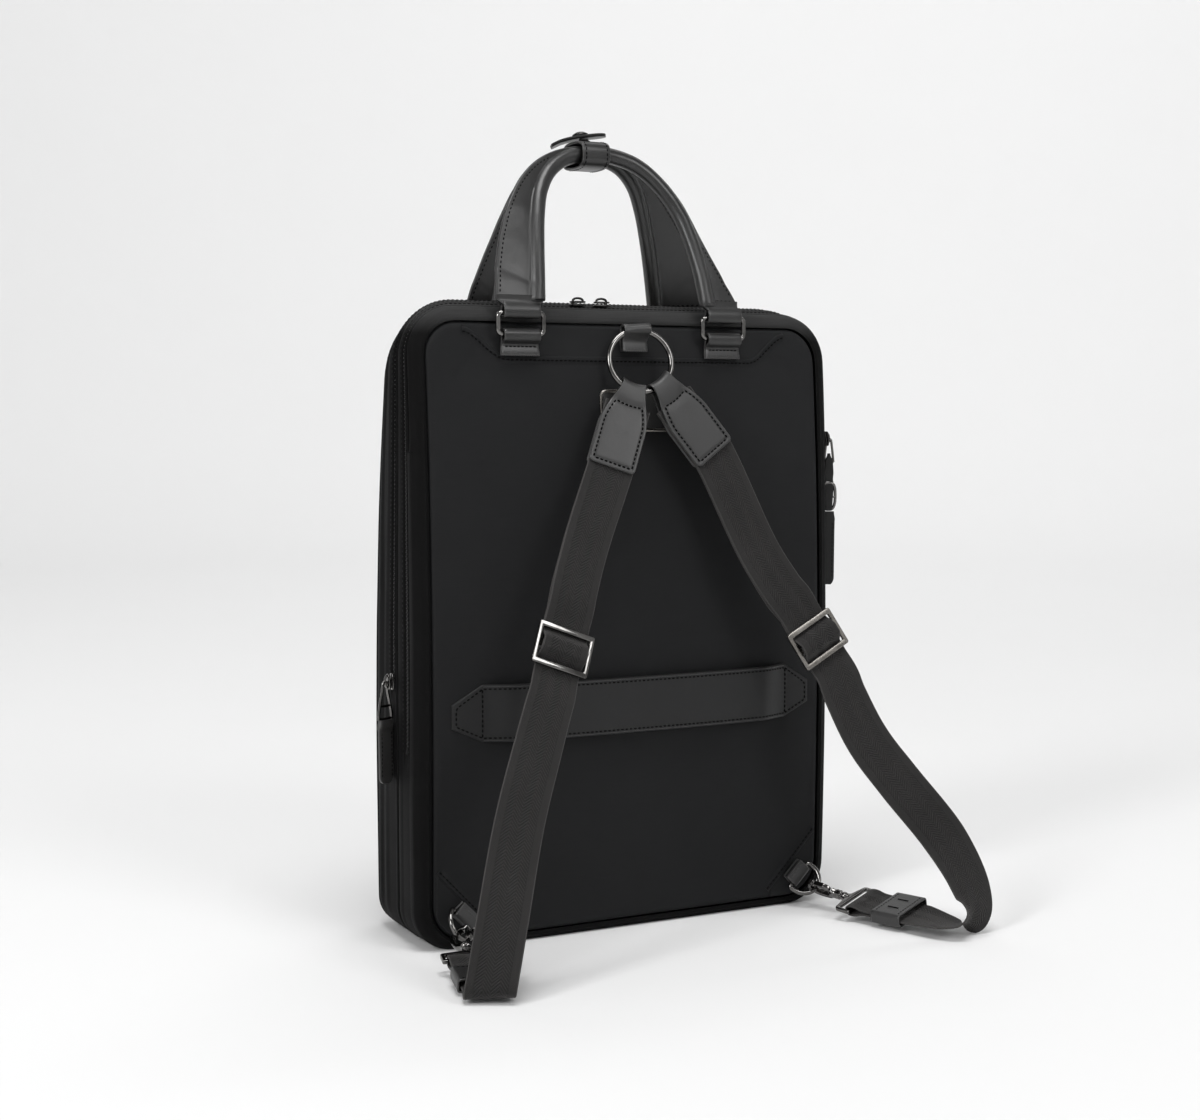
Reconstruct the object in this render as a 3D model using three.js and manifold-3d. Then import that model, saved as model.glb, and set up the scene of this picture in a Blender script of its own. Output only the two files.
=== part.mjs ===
// Convertible backpack, standing on its base with its back panel toward -Y and
// its two shoulder straps hooked at the lower corners.
// Millimetres, +Z up, floor at z = 0, X from the wearer-side left to right.
import * as THREE from 'three';
import { mergeVertices } from 'three/addons/utils/BufferGeometryUtils.js';
import Module from 'manifold-3d';

const wasm = await Module();
wasm.setup();

// ---------------------------------------------------------------- sizes
const GAP = 0.4;            // clearance between neighbouring pieces
const CLOTH = 2.6;          // wall of the nylon gussets with their foam
const PANEL = 5.0;          // padded back panel
const FRONT = 2.8;          // front panel
const LEATHER = 1.7;        // leather strips and tabs
const WEB_W = 30;           // webbing width
const WEB_T = 1.5;          // webbing thickness
const RING_WIRE = 1.6;      // half thickness of the handle rings
const O_RADIUS = 20.6;      // centreline radius of the centre ring
const O_WIRE = 1.9;         // half thickness of its wire
const D_WIRE = 1.5;         // half thickness of the corner rings
const BELLY = 8.0;          // how far the back panel swells past its seam
const FRONT_BELLY = 7.0;
const PANEL_MID = 198;      // height of the middle of the panels

// Where the two panels' seams lie, seen from the side.
const SIDE_PROFILE = [
  { z: 0, back: -45, front: 42 },
  { z: 40, back: -46.5, front: 43.5 },
  { z: 120, back: -48, front: 44 },
  { z: 200, back: -48, front: 43 },
  { z: 260, back: -46.5, front: 37.5 },
  { z: 305, back: -44.5, front: 31 },
  { z: 355, back: -41, front: 23.5 },
  { z: 390, back: -37.5, front: 19 },
  { z: 407, back: -35.5, front: 17.5 },
];

// Outline of the bag seen from the back, at stations through its depth
// (-44 is the back panel's seam and 44 the front panel's).
const STATIONS = [
  { depth: -44, half: 144.5, top: 394, bottom: 3.5, topRadius: 24, bottomRadius: 27 },
  { depth: -41.5, half: 148.4, top: 398, bottom: 1.0, topRadius: 27, bottomRadius: 27 },
  { depth: -37, half: 151.2, top: 400.4, bottom: 0, topRadius: 30, bottomRadius: 27 },
  { depth: -30, half: 152, top: 402, bottom: 0, topRadius: 32, bottomRadius: 26 },
  { depth: -29.4, half: 150.4, top: 402, bottom: 0, topRadius: 32, bottomRadius: 25 },
  { depth: -14, half: 150.2, top: 405, bottom: 0, topRadius: 35, bottomRadius: 24 },
  { depth: 6, half: 149.6, top: 406, bottom: 0, topRadius: 39, bottomRadius: 22 },
  { depth: 26, half: 148.4, top: 404.6, bottom: 0, topRadius: 43, bottomRadius: 21 },
  { depth: 36, half: 147, top: 402, bottom: 0, topRadius: 45, bottomRadius: 20 },
  { depth: 41.5, half: 144.4, top: 398.5, bottom: 1.0, topRadius: 45, bottomRadius: 20 },
  { depth: 44, half: 140.5, top: 394, bottom: 3.5, topRadius: 43, bottomRadius: 20 },
];

// ---------------------------------------------------------------- helpers
const V = (x, y, z) => new THREE.Vector3(x, y, z);
const group = new THREE.Group();

const NYLON = { color: 0x26272a, roughness: 0.82, metalness: 0 };
const HIDE = { color: 0x2b2a2b, roughness: 0.45, metalness: 0 };
const WEBBING = { color: 0x3a3838, roughness: 0.9, metalness: 0 };
const STEEL = { color: 0x8e8b88, roughness: 0.25, metalness: 1 };
const ZIP = { color: 0x17181a, roughness: 0.6, metalness: 0 };

function add(name, geometry, look) {
  const mesh = new THREE.Mesh(geometry, new THREE.MeshStandardMaterial(look));
  mesh.name = name;
  group.add(mesh);
  return mesh;
}

// Value of one column of a table, eased between its rows.
function column(table, key, name, at) {
  if (at <= table[0][key]) return table[0][name];
  for (let i = 1; i < table.length; i++) {
    if (at <= table[i][key]) {
      const a = table[i - 1], b = table[i];
      return a[name] + (b[name] - a[name]) * (at - a[key]) / (b[key] - a[key]);
    }
  }
  return table[table.length - 1][name];
}
const ease = (t) => { const c = Math.min(1, Math.max(0, t)); return c * c * (3 - 2 * c); };

// A closed solid through rows of points; every row is a closed loop with the
// same count. With ring = true the last row joins the first.
function loft(rows, ring = false) {
  const n = rows[0].length, m = rows.length, pos = [], idx = [];
  rows.forEach((r) => r.forEach((p) => pos.push(p.x, p.y, p.z)));
  const last = ring ? m : m - 1;
  for (let i = 0; i < last; i++) {
    const a = i * n, b = ((i + 1) % m) * n;
    for (let j = 0; j < n; j++) {
      const k = (j + 1) % n;
      idx.push(a + j, a + k, b + k, a + j, b + k, b + j);
    }
  }
  if (!ring) {
    for (const [row, base, flip] of [[rows[0], 0, true], [rows[m - 1], (m - 1) * n, false]]) {
      for (const t of capTriangles(row)) {
        if (flip) idx.push(base + t[0], base + t[2], base + t[1]);
        else idx.push(base + t[0], base + t[1], base + t[2]);
      }
    }
  }
  return closed(pos, idx);
}

// Triangles over one planar loop, in the loop's own turning direction.
function capTriangles(row) {
  const normal = V(0, 0, 0);
  for (let i = 0; i < row.length; i++) {
    const p = row[i], q = row[(i + 1) % row.length];
    normal.x += (p.y - q.y) * (p.z + q.z);
    normal.y += (p.z - q.z) * (p.x + q.x);
    normal.z += (p.x - q.x) * (p.y + q.y);
  }
  normal.normalize();
  const u = (Math.abs(normal.x) < 0.8 ? V(1, 0, 0) : V(0, 1, 0)).cross(normal).normalize();
  const v = normal.clone().cross(u);
  const flat = row.map((p) => new THREE.Vector2(p.dot(u), p.dot(v)));
  const out = THREE.ShapeUtils.triangulateShape(flat, []);
  return out.map((t) => {
    const [a, b, c] = t.map((i) => flat[i]);
    const area = (b.x - a.x) * (c.y - a.y) - (b.y - a.y) * (c.x - a.x);
    return area > 0 ? t : [t[0], t[2], t[1]];
  });
}

// A hollow solid between outer and inner rows, open along its axis.
function sleeve(outer, inner) {
  return loft([...outer, ...inner.slice().reverse()], true);
}

// Geometry with its faces turned outward.
function closed(pos, idx) {
  let g = new THREE.BufferGeometry();
  g.setAttribute('position', new THREE.Float32BufferAttribute(pos, 3));
  g.setIndex(idx);
  let six = 0;
  const P = g.getAttribute('position');
  for (let i = 0; i < idx.length; i += 3) {
    const a = V(0, 0, 0).fromBufferAttribute(P, idx[i]);
    const b = V(0, 0, 0).fromBufferAttribute(P, idx[i + 1]);
    const c = V(0, 0, 0).fromBufferAttribute(P, idx[i + 2]);
    six += a.dot(b.cross(c));
  }
  if (six < 0) {
    for (let i = 0; i < idx.length; i += 3) [idx[i + 1], idx[i + 2]] = [idx[i + 2], idx[i + 1]];
    g.setIndex(idx);
  }
  return g;
}

function solid(geometry) {
  let g = geometry.clone();
  g.deleteAttribute('normal');
  g.deleteAttribute('uv');
  g = mergeVertices(g, 1e-4);
  const index = g.index ? g.index.array : [...Array(g.getAttribute('position').count).keys()];
  return new wasm.Manifold(new wasm.Mesh({
    numProp: 3,
    vertProperties: new Float32Array(g.getAttribute('position').array),
    triVerts: new Uint32Array(index),
  }));
}
function geometryOf(body) {
  const m = body.getMesh();
  const pos = [];
  for (let i = 0; i < m.vertProperties.length; i += m.numProp) {
    pos.push(m.vertProperties[i], m.vertProperties[i + 1], m.vertProperties[i + 2]);
  }
  return closed(pos, Array.from(m.triVerts));
}
const join = (...list) => geometryOf(list.map(solid).reduce((a, b) => a.add(b)));

// A matrix that lays local X, Y, Z along three directions at a point.
function place(at, x, y, z) {
  return new THREE.Matrix4().makeBasis(x, y, z).setPosition(at);
}
function axes(forward, side) {           // forward = x, side made square to it = y
  const x = forward.clone().normalize();
  const y = side.clone().addScaledVector(x, -side.dot(x)).normalize();
  return [x, y, x.clone().cross(y)];
}

// Flat outline extruded evenly about its own plane.
function plate(outline, thick, holes = []) {
  const shape = new THREE.Shape(outline.map((p) => new THREE.Vector2(p[0], p[1])));
  for (const h of holes) shape.holes.push(new THREE.Path(h.map((p) => new THREE.Vector2(p[0], p[1]))));
  const g = new THREE.ExtrudeGeometry(shape, { depth: thick, bevelEnabled: false, steps: 1 });
  g.translate(0, 0, -thick / 2);
  return g;
}
function rectangle(w, h, r = 0, seg = 3, cx = 0, cy = 0) {
  if (!r) return [[cx - w / 2, cy - h / 2], [cx + w / 2, cy - h / 2], [cx + w / 2, cy + h / 2], [cx - w / 2, cy + h / 2]];
  const out = [];
  for (const [sx, sy, start] of [[1, -1, -90], [1, 1, 0], [-1, 1, 90], [-1, -1, 180]]) {
    for (let i = 0; i <= seg; i++) {
      const a = THREE.MathUtils.degToRad(start + 90 * i / seg);
      out.push([cx + sx * (w / 2 - r) + r * Math.cos(a), cy + sy * (h / 2 - r) + r * Math.sin(a)]);
    }
  }
  return out;
}
// Slot-shaped outline along local Y.
function stadium(r, y0, y1, seg = 5) {
  const out = [];
  for (let i = 0; i <= seg; i++) out.push([r * Math.cos(-Math.PI + Math.PI * i / seg), y0 + r * Math.sin(-Math.PI + Math.PI * i / seg)]);
  for (let i = 0; i <= seg; i++) out.push([r * Math.cos(Math.PI * i / seg), y1 + r * Math.sin(Math.PI * i / seg)]);
  return out;
}

// Round wire along points; ring = true closes it on itself.
function wire(points, radius, ring = false, sides = 8) {
  const rows = [];
  const n = points.length;
  let up = null;
  for (let i = 0; i < n; i++) {
    const prev = points[ring ? (i + n - 1) % n : Math.max(0, i - 1)];
    const next = points[ring ? (i + 1) % n : Math.min(n - 1, i + 1)];
    const t = next.clone().sub(prev).normalize();
    if (!up) {
      up = Math.abs(t.z) < 0.9 ? V(0, 0, 1) : V(0, 1, 0);
      if (ring) {                         // a flat ring keeps its plane's normal
        const c = points.reduce((s, p) => s.add(p), V(0, 0, 0)).multiplyScalar(1 / n);
        up = points[0].clone().sub(c).cross(t).normalize();
      }
    }
    const s = up.clone().addScaledVector(t, -up.dot(t)).normalize();
    if (!ring) up = s;
    const w = t.clone().cross(s);
    const row = [];
    for (let k = 0; k < sides; k++) {
      const a = 2 * Math.PI * k / sides;
      row.push(points[i].clone().addScaledVector(s, radius * Math.cos(a)).addScaledVector(w, radius * Math.sin(a)));
    }
    rows.push(row);
  }
  return loft(rows, ring);
}

// Flat strip along points, with its width along the side directions.
function strip(points, sides, widths, thick) {
  const rows = points.map((p, i) => {
    const t = points[Math.min(points.length - 1, i + 1)].clone().sub(points[Math.max(0, i - 1)]).normalize();
    const s = sides[i].clone().addScaledVector(t, -sides[i].dot(t)).normalize();
    const nrm = t.clone().cross(s);
    const w = (Array.isArray(widths) ? widths[i] : widths) / 2, h = thick / 2;
    return [[-w, -h], [w, -h], [w, h], [-w, h]].map(([a, b]) => p.clone().addScaledVector(s, a).addScaledVector(nrm, b));
  });
  return loft(rows);
}

// ---------------------------------------------------------------- body
const SIDE_STEPS = 6, TOP_STEPS = 4, CORNER_STEPS = 5;
function outline(s, inset = 0) {
  const hx = s.half - inset, zt = s.top - inset, zb = s.bottom + inset;
  const rt = Math.max(4, s.topRadius - inset), rb = Math.max(4, s.bottomRadius - inset);
  const pts = [];
  const line = (x0, z0, x1, z1, n) => { for (let i = 0; i < n; i++) pts.push([x0 + (x1 - x0) * i / n, z0 + (z1 - z0) * i / n]); };
  const arc = (cx, cz, r, a0) => { for (let i = 0; i < CORNER_STEPS; i++) { const a = THREE.MathUtils.degToRad(a0 + 90 * i / CORNER_STEPS); pts.push([cx + r * Math.cos(a), cz + r * Math.sin(a)]); } };
  line(-hx + rb, zb, hx - rb, zb, TOP_STEPS);
  arc(hx - rb, zb + rb, rb, -90);
  line(hx, zb + rb, hx, zt - rt, SIDE_STEPS);
  arc(hx - rt, zt - rt, rt, 0);
  line(hx - rt, zt, -hx + rt, zt, TOP_STEPS);
  arc(-hx + rt, zt - rt, rt, 90);
  line(-hx, zt - rt, -hx, zb + rb, SIDE_STEPS);
  arc(-hx + rb, zb + rb, rb, 180);
  return pts;
}
const station = (depth) => {
  const s = { depth };
  for (const name of ['half', 'top', 'bottom', 'topRadius', 'bottomRadius']) s[name] = column(STATIONS, 'depth', name, depth);
  return s;
};
const realY = (depth, z) => {
  const t = (depth + 44) / 88;
  return column(SIDE_PROFILE, 'z', 'back', z) * (1 - t) + column(SIDE_PROFILE, 'z', 'front', z) * t;
};
const ringRow = (depth, inset = 0) => outline(station(depth), inset).map(([x, z]) => V(x, realY(depth, z), z));

function gusset(name, depths) {
  add(name, sleeve(depths.map((d) => ringRow(d)), depths.map((d) => ringRow(d, CLOTH))), NYLON);
}
gusset('rear_gusset', [-44, -41.5, -37, -30]);
gusset('main_gusset', [-29.3, -14, -7.3]);
gusset('front_gusset', [-6.5, 6, 26, 36, 41.5, 44]);

// Surface of the two panels.
const SEAM = station(-44), FRONT_SEAM = station(44);
const reach = (x, z, s) => {
  const hz = (s.top - s.bottom) / 2, a = Math.abs(x) / s.half, b = Math.abs(z - PANEL_MID) / hz;
  return Math.min(1, Math.pow(Math.pow(a, 5) + Math.pow(b, 5), 1 / 5));
};
const backY = (x, z) => column(SIDE_PROFILE, 'z', 'back', z) - BELLY * (1 - Math.pow(reach(x, z, SEAM), 2));
const frontY = (x, z) => column(SIDE_PROFILE, 'z', 'front', z) + FRONT_BELLY * (1 - Math.pow(reach(x, z, FRONT_SEAM), 2));

function panel(name, seam, surface, thick, sign) {
  const rim = outline(seam, CLOTH + GAP);
  const steps = [0.04, 0.42, 0.75, 0.92, 1];
  const row = (k, off) => rim.map(([x, z]) => {
    const px = x * k, pz = PANEL_MID + (z - PANEL_MID) * k;
    return V(px, surface(px, pz) + sign * off, pz);
  });
  add(name, loft([...steps.map((k) => row(k, 0)), ...steps.slice().reverse().map((k) => row(k, thick))]), NYLON);
}
panel('back_panel', SEAM, backY, PANEL, 1);
panel('front_panel', FRONT_SEAM, frontY, FRONT, -1);

// A thin patch that follows the back panel, from its lower to its upper edge.
function patch(name, xs, low, high, rise, thick, look, steps = 3) {
  const rows = xs.map((x) => {
    const z0 = low(x), z1 = high(x), outerSide = [], innerSide = [];
    for (let i = 0; i <= steps; i++) {
      const z = z0 + (z1 - z0) * i / steps, y = backY(x, z) - rise(x, z);
      outerSide.push(V(x, y - thick, z));
      innerSide.unshift(V(x, y, z));
    }
    return [...outerSide, ...innerSide];
  });
  return add(name, loft(rows), look);
}
const spread = (a, b, n) => Array.from({ length: n + 1 }, (_, i) => a + (b - a) * i / n);

// Yoke: lower edge level across the middle, sweeping up at both ends.
const YOKE = { half: 117, level: 371, top: 389.5, sweep: 30, thick: 0.9 };
patch('yoke', spread(-YOKE.half, YOKE.half, 26),
  (x) => YOKE.level + (YOKE.top - 1.2 - YOKE.level) * Math.pow(ease((Math.abs(x) - YOKE.half + YOKE.sweep) / YOKE.sweep), 1.1),
  () => YOKE.top, () => GAP, YOKE.thick, NYLON);

// Reinforced lower corners.
const CORNER = { tip: 51, foot: 104, thick: 1.0 };
for (const [name, s] of [['corner_left', -1], ['corner_right', 1]]) {
  const edge = (x) => 51 - 39.5 * (141 - x) / (141 - CORNER.foot);
  const rimZ = (x) => { const c = 141 - 24; return x < c ? 7.2 : 7.2 + 24 - Math.sqrt(Math.max(0, 24 * 24 - (x - c) ** 2)); };
  patch(name, spread(CORNER.foot + 1.5, 139.4, 10).map((x) => s * x), (x) => rimZ(Math.abs(x)),
    (x) => Math.max(rimZ(Math.abs(x)) + 0.8, edge(Math.abs(x))), () => GAP, CORNER.thick, NYLON, 2);
}

// Luggage band: a leather band held at its two pointed ends, free between.
const BAND = { half: 131, shoulder: 111, low: 131.5, high: 167.5, lift: 6.4, thick: 1.9 };
const bandRise = (x) => GAP + BAND.lift * ease((BAND.shoulder + 3 - Math.abs(x)) / 26);
patch('luggage_band', [-131, -126, -118, -111, ...spread(-104, 104, 16), 111, 118, 126, 131],
  (x) => BAND.low + 9 * Math.max(0, (Math.abs(x) - BAND.shoulder) / (BAND.half - BAND.shoulder)),
  (x) => BAND.high - 12 * Math.max(0, (Math.abs(x) - BAND.shoulder) / (BAND.half - BAND.shoulder)),
  bandRise, BAND.thick, HIDE, 2);

// ---------------------------------------------------------------- zips
function zip(name, depth, endZ, width, look = ZIP) {
  const turn = (p) => Math.atan2(p.z, -p.x);
  const near = ringRow(depth - 1.5), far = ringRow(depth + 1.5);
  const ring = ringRow(depth).map((p, i) => ({ p, lie: far[i].clone().sub(near[i]).normalize() }))
    .filter((q) => q.p.z > endZ + 4).sort((a, b) => turn(a.p) - turn(b.p));
  for (const [end, place] of [[ring[0], 'unshift'], [ring[ring.length - 1], 'push']]) {
    const low = end.p.clone();
    low.z = endZ; low.y = realY(depth, endZ);
    ring[place]({ p: low, lie: end.lie.clone() });
  }
  const pts = ring.map((q) => q.p);
  const mid = V(0, 0, 200), out = pts.map((p, i) => {
    const t = pts[Math.min(pts.length - 1, i + 1)].clone().sub(pts[Math.max(0, i - 1)]);
    const o = V(0, 1, 0).cross(t).normalize();
    return o.dot(p.clone().sub(mid)) < 0 ? o.negate() : o;
  });
  const rise = 1.3;
  add(name, strip(pts.map((p, i) => p.clone().addScaledVector(out[i], rise)), ring.map((q) => q.lie), width, 1.1), look);
}
zip('rear_zip', -34, 313, 5);
zip('main_zip', -21.5, 120, 6);
zip('front_zip', 0.5, 160, 6);

// Zip sliders: a small humped body astride the zip.
function slider(name, at, along, outward) {
  const [x, y, z] = axes(along, outward);
  const outlinePts = [[-6, 0], [6, 0], [6, 2.2], [3.2, 4.2], [-2.5, 5.2], [-6, 2.6]];
  const g = plate(outlinePts, 7);
  g.applyMatrix4(place(at, x, y, z));
  add(name, g, STEEL);
}
const topAt = (depth, x) => V(x, realY(depth, station(depth).top), station(depth).top + 2.9);
slider('top_slider_left', topAt(-21.5, -29), V(1, 0, 0), V(0, 0, 1));
slider('top_slider_right', topAt(-21.5, -12), V(-1, 0, 0), V(0, 0, 1));
const LEFT_PULL = V(-station(0.5).half - 2.3, realY(0.5, 166), 166);
slider('left_slider', LEFT_PULL, V(0, 0, 1), V(-1, 0, 0));
const RIGHT_PULL = V(station(-34).half + 2.3, realY(-34, 318), 318);
slider('right_slider', RIGHT_PULL, V(0, 0, 1), V(1, 0, 0));

// Pulls: a metal link with a leather tab that hang below their slider.
function pull(prefix, base, out, linkLength, linkWide, tabLength, tabWide) {
  const wide = V(out.x * 0.92, -0.39, 0).normalize(), down = V(0, 0, -1);
  const [x, y, z] = [wide, down, wide.clone().cross(down)];
  const l = linkLength, w = linkWide / 2;
  const link = plate([[-2, 0], [2, 0], [w, l * 0.55], [w, l], [-w, l], [-w, l * 0.55]], 2,
    [[[-w + 2, l - 5], [-w + 2, l - 2], [w - 2, l - 2], [w - 2, l - 5]].reverse()]);
  link.applyMatrix4(place(base, x, y, z));
  add(prefix + '_link', link, STEEL);
  const t = tabWide / 2;
  const tab = plate([[-t, 0], [t, 0], [t * 1.08, tabLength * 0.6], [t * 0.8, tabLength], [-t * 0.8, tabLength], [-t * 1.08, tabLength * 0.6]], 2.4);
  tab.applyMatrix4(place(base.clone().addScaledVector(down, linkLength + GAP), x, y, z));
  add(prefix + '_pull', tab, HIDE);
}
pull('left', LEFT_PULL.clone().add(V(-6, 0, -6.6)), V(-1, 0, 0), 17, 12, 41, 11.5);
pull('right', RIGHT_PULL.clone().add(V(5.4, 0, -6.6)), V(1, 0, 0), 44, 9, 50, 8.5);

// ---------------------------------------------------------------- handles
const HANDLE = { roll: 5.0, flap: 2.2, ringTop: 397.4, ringLow: 384.1, ringHalf: 15.6 };
const RING_X = { back_left: -80.5, back_right: 66, front_left: -74, front_right: 68.5 };
// Route of each rolled edge, from the left leg over the arch to the right leg,
// with how far the flat leather reaches past the roll.
const BACK_ROUTE = [
  { x: -69, z: 405, lean: 0.00, reach: 23.5 },
  { x: -67, z: 420, lean: 0.12, reach: 23.3 },
  { x: -64, z: 440, lean: 0.30, reach: 21.2 },
  { x: -60, z: 460, lean: 0.50, reach: 16.6 },
  { x: -54, z: 477, lean: 0.70, reach: 10.8 },
  { x: -44.5, z: 490.5, lean: 0.86, reach: 5.2 },
  { x: -31, z: 499.5, lean: 0.96, reach: 1.2 },
  { x: -14, z: 503, lean: 1.0, reach: 0.5 },
  { x: 4, z: 502.5, lean: 1.0, reach: 0.5 },
  { x: 21, z: 497, lean: 0.95, reach: 0.5 },
  { x: 34.5, z: 486, lean: 0.86, reach: 0.6 },
  { x: 45.2, z: 470, lean: 0.70, reach: 0.8 },
  { x: 51.2, z: 450, lean: 0.48, reach: 1.6 },
  { x: 53.6, z: 428, lean: 0.24, reach: 8.4 },
  { x: 54, z: 405, lean: 0.00, reach: 20 },
];
const FRONT_ROUTE = [
  { x: -64.5, z: 405, lean: 0.00, reach: 18 },
  { x: -62.5, z: 420, lean: 0.12, reach: 14.8 },
  { x: -60, z: 440, lean: 0.30, reach: 10 },
  { x: -57, z: 460, lean: 0.50, reach: 5 },
  { x: -52.5, z: 477, lean: 0.70, reach: 2 },
  { x: -44, z: 490.5, lean: 0.86, reach: 0.7 },
  { x: -31, z: 499.5, lean: 0.96, reach: 0.5 },
  { x: -14, z: 503, lean: 1.0, reach: 0.5 },
  { x: 3, z: 502.5, lean: 1.0, reach: 0.5 },
  { x: 17, z: 497.5, lean: 0.95, reach: 2 },
  { x: 28, z: 487, lean: 0.86, reach: 7 },
  { x: 36, z: 471, lean: 0.70, reach: 13.5 },
  { x: 43, z: 450, lean: 0.48, reach: 23.5 },
  { x: 49, z: 428, lean: 0.24, reach: 29.5 },
  { x: 54.5, z: 405, lean: 0.00, reach: 33 },
];
function handle(side, HANDLE_ROUTE, baseY, topY) {
  const curve = new THREE.CatmullRomCurve3(HANDLE_ROUTE.map((r) => V(r.x, baseY + (topY - baseY) * r.lean, r.z)), false, 'centripetal');
  const n = 26, rows = [];
  const reachAt = (u) => { const f = u * (HANDLE_ROUTE.length - 1), i = Math.min(HANDLE_ROUTE.length - 2, Math.floor(f)); return HANDLE_ROUTE[i].reach + (HANDLE_ROUTE[i + 1].reach - HANDLE_ROUTE[i].reach) * (f - i); };
  for (let i = 0; i <= n; i++) {
    const u = i / n, p = curve.getPoint(u), t = curve.getTangent(u);
    if (i === 0) t.set(0, 0, 1);
    if (i === n) t.set(0, 0, -1);
    const outward = V(-t.z, 0, t.x).normalize();
    const across = outward.clone().cross(t).normalize();
    const r = HANDLE.roll, h = HANDLE.flap / 2, open = Math.asin(h / r), row = [];
    for (let k = 0; k <= 9; k++) {
      const a = open + (2 * Math.PI - 2 * open) * k / 9;
      row.push(p.clone().addScaledVector(outward, r * Math.cos(a)).addScaledVector(across, r * Math.sin(a)));
    }
    const far = r + reachAt(u);
    row.push(p.clone().addScaledVector(outward, far).addScaledVector(across, -h));
    row.push(p.clone().addScaledVector(outward, far).addScaledVector(across, h));
    rows.push(row);
  }
  // a folded strip below each leg goes round its ring
  const inner = RING_WIRE + GAP, outerR = inner + LEATHER;
  const parts = [loft(rows)];
  for (const s of [-1, 1]) {
    const loop = plate(stadium(outerR, HANDLE.ringTop, HANDLE.ringTop + 6.4, 6), 25, [stadium(inner, HANDLE.ringTop, HANDLE.ringTop + 0.6, 5).reverse()]);
    loop.applyMatrix4(place(V(RING_X[side + (s < 0 ? '_left' : '_right')], baseY, 0), V(0, 1, 0), V(0, 0, 1), V(1, 0, 0)));
    parts.push(loop);
  }
  add('handle_' + side, join(...parts), HIDE);
}
const TAB_CLEAR = RING_WIRE + GAP + LEATHER + GAP + 0.3;
const BACK_HANDLE_Y = backY(64, 378) - GAP - YOKE.thick - TAB_CLEAR, FRONT_HANDLE_Y = frontY(64, 378) + TAB_CLEAR;
handle('back', BACK_ROUTE, BACK_HANDLE_Y, -7.2);
handle('front', FRONT_ROUTE, FRONT_HANDLE_Y, 5.6);

// Rectangular handle rings and the leather tabs below them.
// The sewn foot of a tab: a flat strip that follows the panel under it.
function tabFoot(x, half, low, high, thick, surface, rise, sign) {
  const rows = spread(low, high, 3).map((z) => {
    const ys = [x - half, x, x + half].map((a) => surface(a, z));
    const y = (sign < 0 ? Math.min(...ys) : Math.max(...ys)) + sign * rise;
    return [V(x - half, y, z), V(x + half, y, z), V(x + half, y + sign * thick, z), V(x - half, y + sign * thick, z)];
  });
  return loft(rows);
}
function handleHardware(tag, y, surface, rise, sign) {
  const ringX = RING_X[tag];
  const mid = (HANDLE.ringTop + HANDLE.ringLow) / 2, half = (HANDLE.ringTop - HANDLE.ringLow) / 2;
  const pts = rectangle(HANDLE.ringHalf * 2, half * 2, 2.6, 3).map(([a, b]) => V(ringX + a, y, mid + b));
  add('handle_ring_' + tag, wire(pts, RING_WIRE, true), STEEL);
  const inner = RING_WIRE + GAP, outerR = inner + LEATHER;
  const loop = plate(stadium(outerR, HANDLE.ringLow - 2.6, HANDLE.ringLow, 6), 25, [stadium(inner, HANDLE.ringLow - 0.6, HANDLE.ringLow, 5).reverse()]);
  loop.applyMatrix4(place(V(ringX, y, 0), V(0, 1, 0), V(0, 0, 1), V(1, 0, 0)));
  const foot = tabFoot(ringX, 13, 370.6, 382, 3.2, surface, rise, sign);
  add('handle_tab_' + tag, join(loop, foot), HIDE);
}
handleHardware('back_left', BACK_HANDLE_Y, backY, GAP + YOKE.thick + GAP, -1);
handleHardware('back_right', BACK_HANDLE_Y, backY, GAP + YOKE.thick + GAP, -1);
handleHardware('front_left', FRONT_HANDLE_Y, frontY, GAP, 1);
handleHardware('front_right', FRONT_HANDLE_Y, frontY, GAP, 1);

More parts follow.
